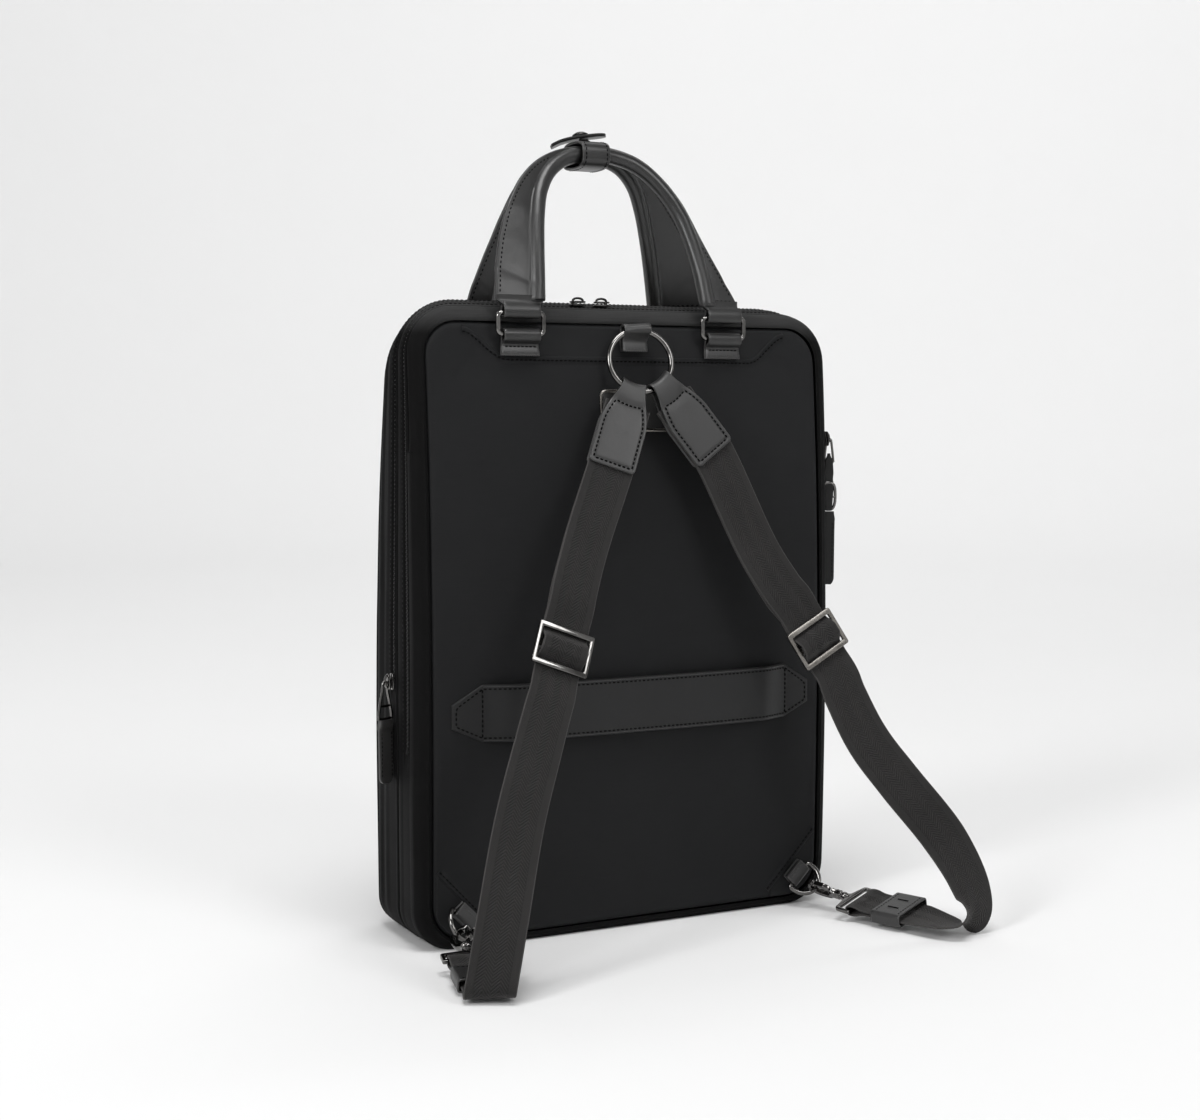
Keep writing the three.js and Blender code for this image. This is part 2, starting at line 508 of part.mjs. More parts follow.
// Keeper: a leather band round both handles, closed by a snap tab on top.
const KEEP = { x: -12, wide: 20, cy: -0.8, cz: 502.6, halfY: 13.9, halfZ: 7.3 };
{
  const oval = (x, grow) => Array.from({ length: 20 }, (_, i) => {
    const a = 2 * Math.PI * i / 20, c = Math.cos(a), s = Math.sin(a);
    const k = Math.pow(Math.pow(Math.abs(c), 3.2) + Math.pow(Math.abs(s), 3.2), -1 / 3.2);
    return V(x, KEEP.cy + (KEEP.halfY + grow) * c * k, KEEP.cz + (KEEP.halfZ + grow) * s * k);
  });
  const xs = [KEEP.x - KEEP.wide / 2, KEEP.x + KEEP.wide / 2];
  add('handle_keeper', sleeve(xs.map((x) => oval(x, LEATHER)), xs.map((x) => oval(x, 0))), HIDE);
  const TAB_ROUTE = [
    { x: -31, y: 12, z: 509.4 }, { x: -25, y: 9.6, z: 512.4 }, { x: -17, y: 5.0, z: 514.6 },
    { x: -8.5, y: -0.5, z: 515.7 }, { x: 0.5, y: -4.6, z: 516.6 },
  ];
  const pts = new THREE.CatmullRomCurve3(TAB_ROUTE.map((r) => V(r.x, r.y, r.z))).getPoints(10);
  add('snap_tab', strip(pts, pts.map(() => V(0.42, 0.9, 0)), pts.map((_, i) => (i > 8 ? 11 : 15)), LEATHER), HIDE);
  const under = new THREE.CylinderGeometry(3.4, 4.2, 1.7, 14);
  under.rotateX(Math.PI / 2);
  under.translate(-13, 0.6, 513.0);
  add('snap_stud', under, STEEL);
  const cap = new THREE.SphereGeometry(5, 14, 5, 0, 2 * Math.PI, 0, Math.PI / 2);
  const capPts = [];
  for (let i = 0; i <= 4; i++) capPts.push(new THREE.Vector2(i === 4 ? 0 : 5.2 * Math.cos(i * Math.PI / 8), 2.3 * Math.sin(i * Math.PI / 8)));
  const dome = new THREE.LatheGeometry([new THREE.Vector2(0, 0), ...capPts], 14);
  dome.rotateX(Math.PI / 2);
  dome.translate(-15, 2, 516.6);
  add('snap_cap', dome, STEEL);
}

// ---------------------------------------------------------------- centre ring
const O_CENTRE = V(0, -53.2, 368.6);
const O_UP = V(0, 0.3, 0.954).normalize();
const O_FLAT = V(0, -0.954, 0.3);
const O_SIDE = V(1, 0, 0).multiplyScalar(Math.cos(0.2)).addScaledVector(O_FLAT, Math.sin(0.2)).normalize();
const O_NORMAL = O_SIDE.clone().cross(O_UP).normalize();
{
  const pts = [];
  for (let i = 0; i < 36; i++) {
    const a = 2 * Math.PI * i / 36;
    pts.push(O_CENTRE.clone().addScaledVector(O_SIDE, O_RADIUS * Math.sin(a)).addScaledVector(O_UP, O_RADIUS * Math.cos(a)));
  }
  add('o_ring', wire(pts, O_WIRE, true), STEEL);
}
// Its leather tab: a loop over the ring whose ends are sewn to the yoke.
{
  const top = O_CENTRE.clone().addScaledVector(O_UP, O_RADIUS);
  const inner = O_WIRE + GAP + 0.1, outerR = inner + LEATHER;
  const loop = plate(stadium(outerR, -2.4, 0.1, 6), 18, [stadium(inner, -2.4, 0.1, 6).reverse()]);
  const side = O_SIDE.clone(), up = O_UP.clone();
  loop.applyMatrix4(place(top, side.clone().cross(up).negate(), up, side));
  const foot = tabFoot(0, 8.9, 374.5, 383.8, 4.8, backY, GAP + YOKE.thick + GAP, -1);
  add('o_ring_tab', join(loop, foot), HIDE);
}

// Framed plain patch on the panel below the ring.
patch('patch', spread(-22, 22, 8), () => 327, () => 347, () => GAP, 0.8, HIDE, 2);
{
  const pts = rectangle(49, 25, 4, 3).map(([a, b]) => V(a, backY(a, 337 + b) - GAP - 1.0, 337 + b));
  add('patch_frame', wire(pts, 0.8, true, 6), STEEL);
}

// ---------------------------------------------------------------- straps
// Each leather end folds round the ring and holds the webbing between its
// two leaves. "swing" is its direction away from the ring's centre.
const END = { leaf: 56, top: 15.5, foot: 31, hold: 2.15 };
function strapEnd(name, swing) {
  const d = swing.clone().normalize();
  const base = O_CENTRE.clone().addScaledVector(swing.clone().addScaledVector(O_NORMAL, -swing.dot(O_NORMAL)).normalize(), O_RADIUS);
  const e = O_NORMAL.clone().cross(d).normalize();     // width direction
  const n = d.clone().cross(e).normalize();
  const turn = O_WIRE + GAP + 0.6 + LEATHER / 2;
  const route = [];
  for (const u of [END.leaf, 48, 38, 28, 18, 10, 4]) route.push([u, -1]);
  for (const a of [0, 45, 90, 135, 180]) route.push([null, a]);
  for (const u of [4, 10, 18, 28, 38, 48, END.leaf]) route.push([u, 1]);
  const rows = route.map(([u, side]) => {
    let along, lift, outDir;
    if (u === null) {
      const a = THREE.MathUtils.degToRad(side);
      along = -turn * Math.sin(a); lift = -turn * Math.cos(a);
      outDir = [-Math.sin(a), -Math.cos(a)];
    } else {
      along = u; lift = side * (turn + (END.hold + LEATHER / 2 - turn) * ease((u - 2) / 16));
      outDir = [0, side];
    }
    const w = (END.top + (END.foot - END.top) * ease((along + 2) / 30)) / 2;
    const bow = 1 - ease((along - 2) / 24);
    const row = [];
    const across = [-1, -0.5, 0, 0.5, 1];
    for (const layer of [-1, 1]) {
      const list = layer < 0 ? across : across.slice().reverse();
      for (const k of list) {
        const a = k * w, sag = bow * (O_RADIUS - Math.sqrt(O_RADIUS ** 2 - a * a));
        row.push(base.clone()
          .addScaledVector(d, along - sag + outDir[0] * layer * LEATHER / 2)
          .addScaledVector(e, a).addScaledVector(n, lift + outDir[1] * layer * LEATHER / 2));
      }
    }
    return row;
  });
  add(name, loft(rows), HIDE);
  return { base, d, e, n };
}

// Routes of the two straps below their leather ends, down to the floor and
// back to the hooks. side_* is the webbing's width direction.
const LEFT_ROUTE = [
  { x: -59.6, y: -87, z: 245.5, side_x: 0.93, side_y: -0.10, side_z: -0.33 },
  { x: -81.5, y: -104, z: 190.5, side_x: 0.93, side_y: -0.12, side_z: -0.33 },
  { x: -104.8, y: -121, z: 141.6, side_x: 0.95, side_y: -0.20, side_z: -0.22 },
  { x: -124.2, y: -135, z: 99.6, side_x: 0.95, side_y: -0.25, side_z: -0.15 },
  { x: -142.4, y: -150, z: 46.6, side_x: 0.90, side_y: -0.40, side_z: -0.05 },
  { x: -151.5, y: -157, z: 18, side_x: 0.86, side_y: -0.50, side_z: 0 },
  { x: -154.2, y: -158.4, z: 8, side_x: 0.88, side_y: -0.46, side_z: 0 },
  { x: -152.6, y: -153.5, z: 3.4, side_x: 0.94, side_y: -0.34, side_z: 0 },
];
const RIGHT_ROUTE = [
  { x: 76.6, y: -80, z: 240.3, side_x: 0.915, side_y: 0, side_z: 0.40 },
  { x: 113, y: -92, z: 185.4, side_x: 0.915, side_y: 0, side_z: 0.40 },
  { x: 136.2, y: -112, z: 124.5, side_x: 0.93, side_y: -0.25, side_z: 0.25 },
  { x: 153.3, y: -124, z: 96.6, side_x: 0.92, side_y: -0.32, side_z: 0.2 },
  { x: 178, y: -142, z: 58.9, side_x: 0.92, side_y: -0.36, side_z: 0.1 },
  { x: 186, y: -158, z: 31.3, side_x: 0.97, side_y: -0.10, side_z: 0.0 },
  { x: 183.5, y: -166.5, z: 17, side_x: 0.95, side_y: 0.15, side_z: -0.1 },
  { x: 176, y: -168.5, z: 9.6, side_x: 0.88, side_y: 0.38, side_z: -0.16 },
  { x: 168, y: -161, z: 8.2, side_x: 0.88, side_y: 0.42, side_z: -0.02 },
];
const SLIDE = { wide: 37, high: 27, bar: 3.5, thick: 2.6 };

function buildStrap(tag, swing, route, slideRow, tailWay, barAt, barSide) {
  const end = strapEnd('strap_end_' + tag, swing);
  const from = (u, v) => end.base.clone().addScaledVector(end.d, u).addScaledVector(end.n, v);
  // direction from the keeper to the swivel bar
  const S = barSide.clone();
  const T = tailWay.clone().negate().addScaledVector(S, tailWay.dot(S)).normalize();
  const N = T.clone().cross(S);
  const flip = N.z < 0 ? -1 : 1;
  const tail = (u, v) => barAt.clone().addScaledVector(T, u).addScaledVector(N, v * flip);
  const low = -0.97;
  const keys = [
    { p: from(12, 0), s: end.e }, { p: from(30, 0), s: end.e }, { p: from(52, 0), s: end.e },
    ...route.map((r) => ({ p: V(r.x, r.y, r.z), s: V(r.side_x, r.side_y, r.side_z).normalize() })),
    { p: tail(-44, low), s: S }, { p: tail(-36, low), s: S }, { p: tail(-28, low), s: S }, { p: tail(-20, low), s: S },
  ];
  // the front faces of the webbing near the slide look toward -Y
  const curve = new THREE.CatmullRomCurve3(keys.map((k) => k.p), false, 'centripetal');
  const N_SEG = 110, pts = [], sides = [];
  const m = keys.length - 1;
  for (let i = 0; i <= N_SEG; i++) {
    const u = i / N_SEG, f = u * m, k = Math.min(m - 1, Math.floor(f));
    pts.push(curve.getPoint(u));
    sides.push(keys[k].s.clone().lerp(keys[k + 1].s, f - k).normalize());
  }
  const dist = [0];
  for (let i = 1; i <= N_SEG; i++) dist.push(dist[i - 1] + pts[i].distanceTo(pts[i - 1]));
  const normalAt = (i) => {
    const t = pts[Math.min(N_SEG, i + 1)].clone().sub(pts[Math.max(0, i - 1)]).normalize();
    const s = sides[i].clone().addScaledVector(t, -sides[i].dot(t)).normalize();
    const n = t.clone().cross(s);
    return n;
  };
  // slide position along the strap
  const target = V(route[slideRow].x, route[slideRow].y, route[slideRow].z);
  let at = 0;
  pts.forEach((p, i) => { if (p.distanceTo(target) < pts[at].distanceTo(target)) at = i; });
  const slideN = normalAt(at), toView = slideN.y < 0 ? 1 : -1;    // +1: normal looks at the viewer
  const pitch = (SLIDE.high - SLIDE.bar) / 2;
  const behind = -(SLIDE.thick / 2 + GAP + WEB_T / 2), ahead = SLIDE.thick / 2 + GAP + WEB_T + GAP + WEB_T / 2;
  const weave = (d) => {
    const a = Math.abs(d);
    if (a <= pitch) return ahead + (behind - ahead) * ease((a - 2.4) / (pitch - 4.2));
    return behind * (1 - ease((a - pitch - 4) / 18));
  };
  // resample finely round the slide
  const samples = [];
  const pointAt = (d) => {
    let i = 0; while (i < N_SEG - 1 && dist[i + 1] < d) i++;
    const f = (d - dist[i]) / (dist[i + 1] - dist[i]);
    return { p: pts[i].clone().lerp(pts[i + 1], f), s: sides[i].clone().lerp(sides[i + 1], f).normalize(), n: normalAt(i).lerp(normalAt(i + 1), f).normalize() };
  };
  const d0 = dist[at], total = dist[N_SEG];
  // the webbing runs straight through the slide
  const c = pointAt(d0);
  const cT = pts[at + 1].clone().sub(pts[at - 1]).normalize();
  const cS = c.s.clone().addScaledVector(cT, -c.s.dot(cT)).normalize();
  const cN = cT.clone().cross(cS);
  const calm = (d) => {
    const q = pointAt(d), w = 1 - ease((Math.abs(d - d0) - 18) / 22);
    if (w > 0) {
      q.p.lerp(c.p.clone().addScaledVector(cT, d - d0), w);
      q.s.lerp(cS, w).normalize();
      q.n.lerp(cN, w).normalize();
    }
    return q;
  };
  for (let d = 0; d < d0 - 34; d += 9) samples.push(d);
  for (let d = d0 - 30; d <= d0 + 30; d += 2) samples.push(d);
  const turnStart = Math.min(total - 60, total * 0.86);
  for (let d = d0 + 38; d < total - 110; d += 9) samples.push(d);
  for (let d = Math.max(total - 106, d0 + 46); d <= total; d += 4) samples.push(d);
  if (samples[samples.length - 1] < total - 0.5) samples.push(total);
  const run = [], runSide = [];
  // the running layer starts in the leather end, in front of the fixed layer
  for (const d of samples) {
    const q = calm(d);
    const front = 1.0 * (1 - ease((d - (d0 - 60)) / 40)) ;
    const off = Math.abs(d - d0) < 36 ? weave(d - d0) : 0;
    run.push(q.p.clone().addScaledVector(q.n, toView * (front * (d < d0 ? 1 : 0) + off)));
    runSide.push(q.s);
  }
  // round the swivel bar and back through the keeper
  const R = 1.95 + GAP + WEB_T / 2;
  for (const [u, v] of [[-13, low - 0.1], [-8, low - 0.7], [-4, -R + 0.2]]) { run.push(tail(u, v)); runSide.push(S); }
  for (const a of [-90, -60, -30, 0, 30, 60, 90]) {
    const r = THREE.MathUtils.degToRad(a);
    run.push(tail(R * Math.cos(r), R * Math.sin(r))); runSide.push(S);
  }
  for (const [u, v] of [[-4, R - 0.2], [-8, -low + 0.7], [-13, -low + 0.1], [-20, -low], [-33, -low]]) { run.push(tail(u, v)); runSide.push(S); }
  add('strap_' + tag, strip(run, runSide, WEB_W, WEB_T), WEBBING);

  // fixed layer: from the leather end down behind, sewn round the slide's centre bar
  const fix = [], fixSide = [];
  for (let d = 0; d < d0 - 22; d += 7) {
    const q = calm(d), k = 1.0 + 2.6 * ease((d - (d0 - 60)) / 34);
    fix.push(q.p.clone().addScaledVector(q.n, -toView * k)); fixSide.push(q.s);
  }
  const loc = (a, b) => c.p.clone().addScaledVector(cT, a).addScaledVector(cN, b * toView);
  const backOff = behind - WEB_T - GAP;
  for (const [a, b] of [[-18, backOff - 0.2], [-pitch, backOff], [-pitch + 3.5, backOff + 0.3], [-4.6, behind + 0.1], [-1.75, behind]]) { fix.push(loc(a, b)); fixSide.push(cS); }
  for (const [a, b] of [[1.5, behind + 0.1], [2.75, behind * 0.62], [3.05, 0], [2.75, -behind * 0.62], [1.5, -behind - 0.05], [-1.4, -behind]]) { fix.push(loc(a, b)); fixSide.push(cS); }
  add('strap_fixed_' + tag, strip(fix, fixSide, WEB_W - 0.6, WEB_T), WEBBING);

  // slide: a frame with a centre bar
  const hole = (WEB_W + 1.6), win = (SLIDE.high - 3 * SLIDE.bar) / 2, step = (win + SLIDE.bar) / 2;
  const slide = plate(rectangle(SLIDE.wide, SLIDE.high, 2, 2), SLIDE.thick,
    [rectangle(hole, win, 0, 0, 0, step).reverse(), rectangle(hole, win, 0, 0, 0, -step).reverse()]);
  slide.applyMatrix4(place(c.p, cS, cT, cS.clone().cross(cT)));
  add('slide_' + tag, slide, STEEL);

  // leather keeper round the two layers below the hook
  const kw = WEB_W / 2 + GAP + 0.2, kt = 1.9 + WEB_T / 2 + GAP - 0.15, leather = 1.4;
  const ring = (u, g) => [[-kw - g, -kt - g], [kw + g, -kt - g], [kw + g, kt + g], [-kw - g, kt + g]]
    .map(([a, b]) => barAt.clone().addScaledVector(T, u).addScaledVector(S, a).addScaledVector(N, b));
  const us = [-40, -18];
  add('keeper_' + tag, sleeve(us.map((u) => ring(u, leather)), us.map((u) => ring(u, 0))), HIDE);
}

// ---------------------------------------------------------------- hooks
// Local a runs from the corner ring out to the swivel bar, b across the hook.
const HOOK = { thick: 4, bar: 1.4, barHalf: 18.2, reachBar: 38, eye: 2.6 };
function hook(tag, tip, axis, across, barSide) {
  const [x, y, z] = axes(axis, across);
  const nose = tip.clone().addScaledVector(x, -0.5);
  const M = place(nose, x, y, z);
  const b0 = 1.2;                                    // the ring's wire lies off centre
  const out = [], seg = 8;
  for (let i = 0; i <= seg; i++) { const t = Math.PI / 2 + Math.PI * i / seg; out.push([0.9 + 7.6 * Math.cos(t) * 0.82, b0 + 7.6 * Math.sin(t)]); }
  // down one side, across the shank, up to the gate's seat
  const bodyOutline = [
    [0.9, b0 + 7.6], ...out.slice(1, -1), [0.9, b0 - 7.6],
    [11, b0 - 7.0], [16, b0 - 4.2], [17.5, b0 - 3.2], [22, b0 - 3.2], [22, b0 + 3.2], [17.5, b0 + 3.2],
    [14.6, b0 + 4.2], [14.6, b0 + 1.6], [12.4, b0 + 0.4], [10.5, b0 - 3.8], [1.5, b0 - 4.4], [-1.6, b0 - 2.8], [-2.4, b0], [-1.6, b0 + 2.8], [0.9, b0 + 4.4],
  ];
  const body = plate(bodyOutline, HOOK.thick);
  body.applyMatrix4(M);
  add('hook_' + tag, body, STEEL);
  // gate: a sprung lever from its pivot by the shank to the hook's nose
  const gateOutline = [[1.9, b0 + 4.6], [11.2, b0 + 2.6], [13.7, b0 + 2.6], [14.0, b0 + 4.8], [12.4, b0 + 6.4], [9.5, b0 + 7.9], [7.4, b0 + 7.3], [1.9, b0 + 7.2]];
  const gate = plate(gateOutline, 3.2);
  gate.applyMatrix4(M);
  const lever = add('gate_' + tag, gate, STEEL);
  // the lever turns on a pin across the hook, nose inward
  lever.userData.hinge = { at: V(12.6, b0 + 3.9, 0).applyMatrix4(M), axis: z.clone() };
  // swivel eye: a collar, two arms and the bar that holds the webbing
  const S = barSide.clone().addScaledVector(x, -barSide.dot(x)).normalize();
  const E = place(nose.clone().addScaledVector(y, b0), x, S, x.clone().cross(S));
  const h = HOOK.barHalf, e = HOOK.reachBar;
  const eye = plate([[22.4, -3.6], [26, -3.6], [28.4, -h], [e + HOOK.bar, -h], [e + HOOK.bar, h], [28.4, h], [26, 3.6], [22.4, 3.6]], HOOK.eye,
    [[[30.6, -h + 2.5], [30.6, h - 2.5], [e - HOOK.bar, h - 2.5], [e - HOOK.bar, -h + 2.5]].reverse()]);
  eye.applyMatrix4(E);
  add('swivel_' + tag, eye, STEEL);
  return { bar: nose.clone().addScaledVector(y, b0).addScaledVector(x, e), side: S };
}
// Corner ring in its tab on the diagonal seam; the ring leans out and forward.
const D = { seat: 121.5, seatZ: 24.5, half: 10.5, reach: 15 };
function cornerRing(tag, s) {
  const seam = V(s * 0.72, 0, -0.69).negate().multiplyScalar(s < 0 ? 1 : 1);   // along the diagonal seam
  const along = V(s * 0.707, 0, 0.707);                                          // up the seam, outward
  const outward = V(s * 0.707, 0, -0.707);
  const seat = V(s * D.seat, backY(D.seat, D.seatZ) - CORNER.thick - GAP - 4.6, D.seatZ).addScaledVector(outward, 4);
  const lean = outward.clone().multiplyScalar(0.72).add(V(0, -0.69, 0)).normalize();
  const pts = [];
  for (let i = 0; i <= 3; i++) pts.push(seat.clone().addScaledVector(along, -D.half + 2 * D.half * i / 3));
  for (let i = 0; i <= 10; i++) {
    const a = Math.PI * i / 10;
    pts.push(seat.clone().addScaledVector(along, D.half * Math.cos(a)).addScaledVector(lean, 3.2 + (D.reach - 3.2) * Math.sin(a)));
  }
  add('d_ring_' + tag, wire(pts, D_WIRE, true), STEEL);
  // tab: a folded leather loop, sewn into the seam
  const inner = D_WIRE + GAP, outerR = inner + LEATHER;
  const tab = plate(stadium(outerR, -7.5, 0, 6), 15.5, [stadium(inner, -0.8, 0, 5).reverse()]);
  tab.applyMatrix4(place(seat, outward.clone().cross(along), outward, along));
  add('d_tab_' + tag, tab, HIDE);
  return { tip: seat.clone().addScaledVector(lean, D.reach), along, lean };
}

const SETS = [
  { tag: 'left', s: -1, swing: V(-0.403, -0.225, -0.886), route: LEFT_ROUTE, slideRow: 1, bar: V(-139.5, -97, 9.2), barSide: V(0.97, -0.2, 0), tailWay: V(-0.14, -0.98, -0.09) },
  { tag: 'right', s: 1, swing: V(0.588, -0.177, -0.789), route: RIGHT_ROUTE, slideRow: 1, bar: V(146, -98, 9.6), barSide: V(0.92, 0.22, 0.18), tailWay: V(0.22, -0.97, -0.03) },
];
for (const k of SETS) {
  const ring = cornerRing(k.tag, k.s);
  const axis = k.bar.clone().sub(ring.tip).normalize();
  // the ring's wire runs through the hook square to the hook's plane
  const across = ring.along.clone().cross(axis).normalize();
  if (across.z < 0) across.negate();
  const wireOffset = ring.tip.clone();
  const eye = hook(k.tag, wireOffset, axis, across, k.barSide);
  buildStrap(k.tag, k.swing, k.route, k.slideRow, k.tailWay, eye.bar, eye.side);
}

export default group;
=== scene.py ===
import math

import bmesh
import bpy
import numpy as np
from mathutils import Matrix, Vector


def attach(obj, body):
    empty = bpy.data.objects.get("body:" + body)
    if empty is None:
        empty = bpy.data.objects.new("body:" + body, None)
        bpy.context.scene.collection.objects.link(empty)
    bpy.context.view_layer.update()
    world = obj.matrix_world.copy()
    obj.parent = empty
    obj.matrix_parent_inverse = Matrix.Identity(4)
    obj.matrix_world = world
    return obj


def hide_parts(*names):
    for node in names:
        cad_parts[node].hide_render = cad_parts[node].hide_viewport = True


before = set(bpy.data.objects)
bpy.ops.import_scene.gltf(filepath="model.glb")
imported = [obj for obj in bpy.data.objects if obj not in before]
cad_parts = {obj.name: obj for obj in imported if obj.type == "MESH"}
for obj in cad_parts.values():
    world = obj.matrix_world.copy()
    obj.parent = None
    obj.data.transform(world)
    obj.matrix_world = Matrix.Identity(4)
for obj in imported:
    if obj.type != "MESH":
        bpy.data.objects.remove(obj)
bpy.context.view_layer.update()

MM = 0.001
BAG = "bag"

# ------------------------------------------------------------------ sizes, mm
GAP, CLOTH, PANEL, FRONT, LEATHER = 0.4, 2.6, 5.0, 2.8, 1.7
WEB_W, WEB_T = 30.0, 1.5
RING_WIRE, O_RADIUS, O_WIRE, D_WIRE = 1.6, 20.6, 1.9, 1.5
BELLY, FRONT_BELLY, PANEL_MID = 8.0, 7.0, 198.0
SIDE = np.array([
    [0, -45, 42], [40, -46.5, 43.5], [120, -48, 44], [200, -48, 43], [260, -46.5, 37.5],
    [305, -44.5, 31], [355, -41, 23.5], [390, -37.5, 19], [407, -35.5, 17.5]], float)
# depth, half width, top, bottom, top radius, bottom radius
STATIONS = np.array([
    [-44, 144.5, 394, 3.5, 24, 27], [-41.5, 148.4, 398, 1.0, 27, 27], [-37, 151.2, 400.4, 0, 30, 27],
    [-30, 152, 402, 0, 32, 26], [-29.4, 150.4, 402, 0, 32, 25], [-14, 150.2, 405, 0, 35, 24],
    [6, 149.6, 406, 0, 39, 22], [26, 148.4, 404.6, 0, 43, 21], [36, 147, 402, 0, 45, 20],
    [41.5, 144.4, 398.5, 1.0, 45, 20], [44, 140.5, 394, 3.5, 43, 20]], float)


def V(*a):
    return np.array(a, float)


def unit(v):
    v = np.asarray(v, float)
    return v / np.maximum(1e-12, np.linalg.norm(v, axis=-1, keepdims=True))


def ease(t):
    c = np.clip(t, 0, 1)
    return c * c * (3 - 2 * c)


def bump1(x, c, w):
    return np.exp(-((x - c) / w) ** 2)


def smoothed(xs, ys, sigma, step=1.0):
    """A table eased by a Gaussian, so that its rows leave no crease."""
    pad = sigma * 4
    g = np.arange(xs[0] - pad, xs[-1] + pad + step, step)
    y = np.interp(g, xs, ys)
    # carry the end slopes on past the ends
    y = np.where(g < xs[0], ys[0] + (g - xs[0]) * (ys[1] - ys[0]) / (xs[1] - xs[0]), y)
    y = np.where(g > xs[-1], ys[-1] + (g - xs[-1]) * (ys[-1] - ys[-2]) / (xs[-1] - xs[-2]), y)
    k = np.exp(-0.5 * (np.arange(-pad, pad + step, step) / sigma) ** 2)
    k /= k.sum()
    half = len(k) // 2
    full = np.convolve(np.pad(y, half, mode="edge"), k, mode="valid")
    keep = (g >= xs[0] - 2) & (g <= xs[-1] + 2)
    return g[keep], full[keep]


_BZ, _BY = smoothed(SIDE[:, 0], SIDE[:, 1], 14)
_FZ, _FY = smoothed(SIDE[:, 0], SIDE[:, 2], 14)


def back_line(z):
    return np.interp(z, _BZ, _BY)


def front_line(z):
    return np.interp(z, _FZ, _FY)


def real_y(depth, z):
    t = (np.asarray(depth, float) + 44) / 88
    return back_line(z) * (1 - t) + front_line(z) * t


_ST = {}
for _k in range(1, 6):
    _ST[_k] = (STATIONS[:, 0], STATIONS[:, _k])


def station(depth):
    out = []
    for k in range(1, 6):
        # three close samples, so that the bands round over softly
        out.append(np.mean([np.interp(depth + o, *_ST[k]) for o in (-0.7, 0, 0.7)]))
    return out


def outline(depth, off=0.0, side_n=64, top_n=56, corner_n=14, round_off=None):
    """Rounded outline of the bag at a depth; off moves it outward (out of the cloth)."""
    half, top, bottom, rt, rb = station(depth)
    off = np.asarray(off, float)
    o = float(off) if off.ndim == 0 else None
    o = 0.0 if o is None else o
    hx, zt, zb = half + o, top + o, bottom - min(o, 0.0)
    rt, rb = max(3.5, rt + o), max(3.5, rb + o)
    pts, nrm = [], []

    def line(x0, z0, x1, z1, n, nx, nz):
        for i in range(n):
            pts.append((x0 + (x1 - x0) * i / n, z0 + (z1 - z0) * i / n))
            nrm.append((nx, nz))

    def arc(cx, cz, r, a0):
        for i in range(corner_n):
            a = math.radians(a0 + 90 * i / corner_n)
            pts.append((cx + r * math.cos(a), cz + r * math.sin(a)))
            nrm.append((math.cos(a), math.sin(a)))

    line(-hx + rb, zb, hx - rb, zb, top_n, 0, -1)
    arc(hx - rb, zb + rb, rb, -90)
    line(hx, zb + rb, hx, zt - rt, side_n, 1, 0)
    arc(hx - rt, zt - rt, rt, 0)
    line(hx - rt, zt, -hx + rt, zt, top_n, 0, 1)
    arc(-hx + rt, zt - rt, rt, 90)
    line(-hx, zt - rt, -hx, zb + rb, side_n, -1, 0)
    arc(-hx + rb, zb + rb, rb, 180)
    return np.array(pts), np.array(nrm)


SEAM_HALF, SEAM_TOP, SEAM_BOTTOM = 144.5, 394.0, 3.5
FSEAM_HALF, FSEAM_TOP, FSEAM_BOTTOM = 140.5, 394.0, 3.5


def reach(x, z, half, top, bottom):
    a = np.abs(x) / half
    b = np.abs(np.asarray(z, float) - PANEL_MID) / ((top - bottom) / 2)
    return np.minimum(1, (a ** 5 + b ** 5) ** 0.2)


def back_y(x, z):
    return back_line(z) - BELLY * (1 - reach(x, z, SEAM_HALF, SEAM_TOP, SEAM_BOTTOM) ** 2)


def front_y(x, z):
    return front_line(z) + FRONT_BELLY * (1 - reach(x, z, FSEAM_HALF, FSEAM_TOP, FSEAM_BOTTOM) ** 2)


def soft_field(seed, n, low, high):
    """A gentle sum of waves over a plane, for soft dents; the same on every run."""
    r = np.random.RandomState(seed)
    ang, wave = r.uniform(0, math.pi, n), r.uniform(low, high, n)
    ph, amp = r.uniform(0, 6.28, n), r.uniform(0.5, 1, n)

    def f(a, b):
        s = 0
        for i in range(n):
            s = s + amp[i] * np.sin((a * math.cos(ang[i]) + b * math.sin(ang[i])) * 6.283 / wave[i] + ph[i])
        return s / math.sqrt(n)
    return f


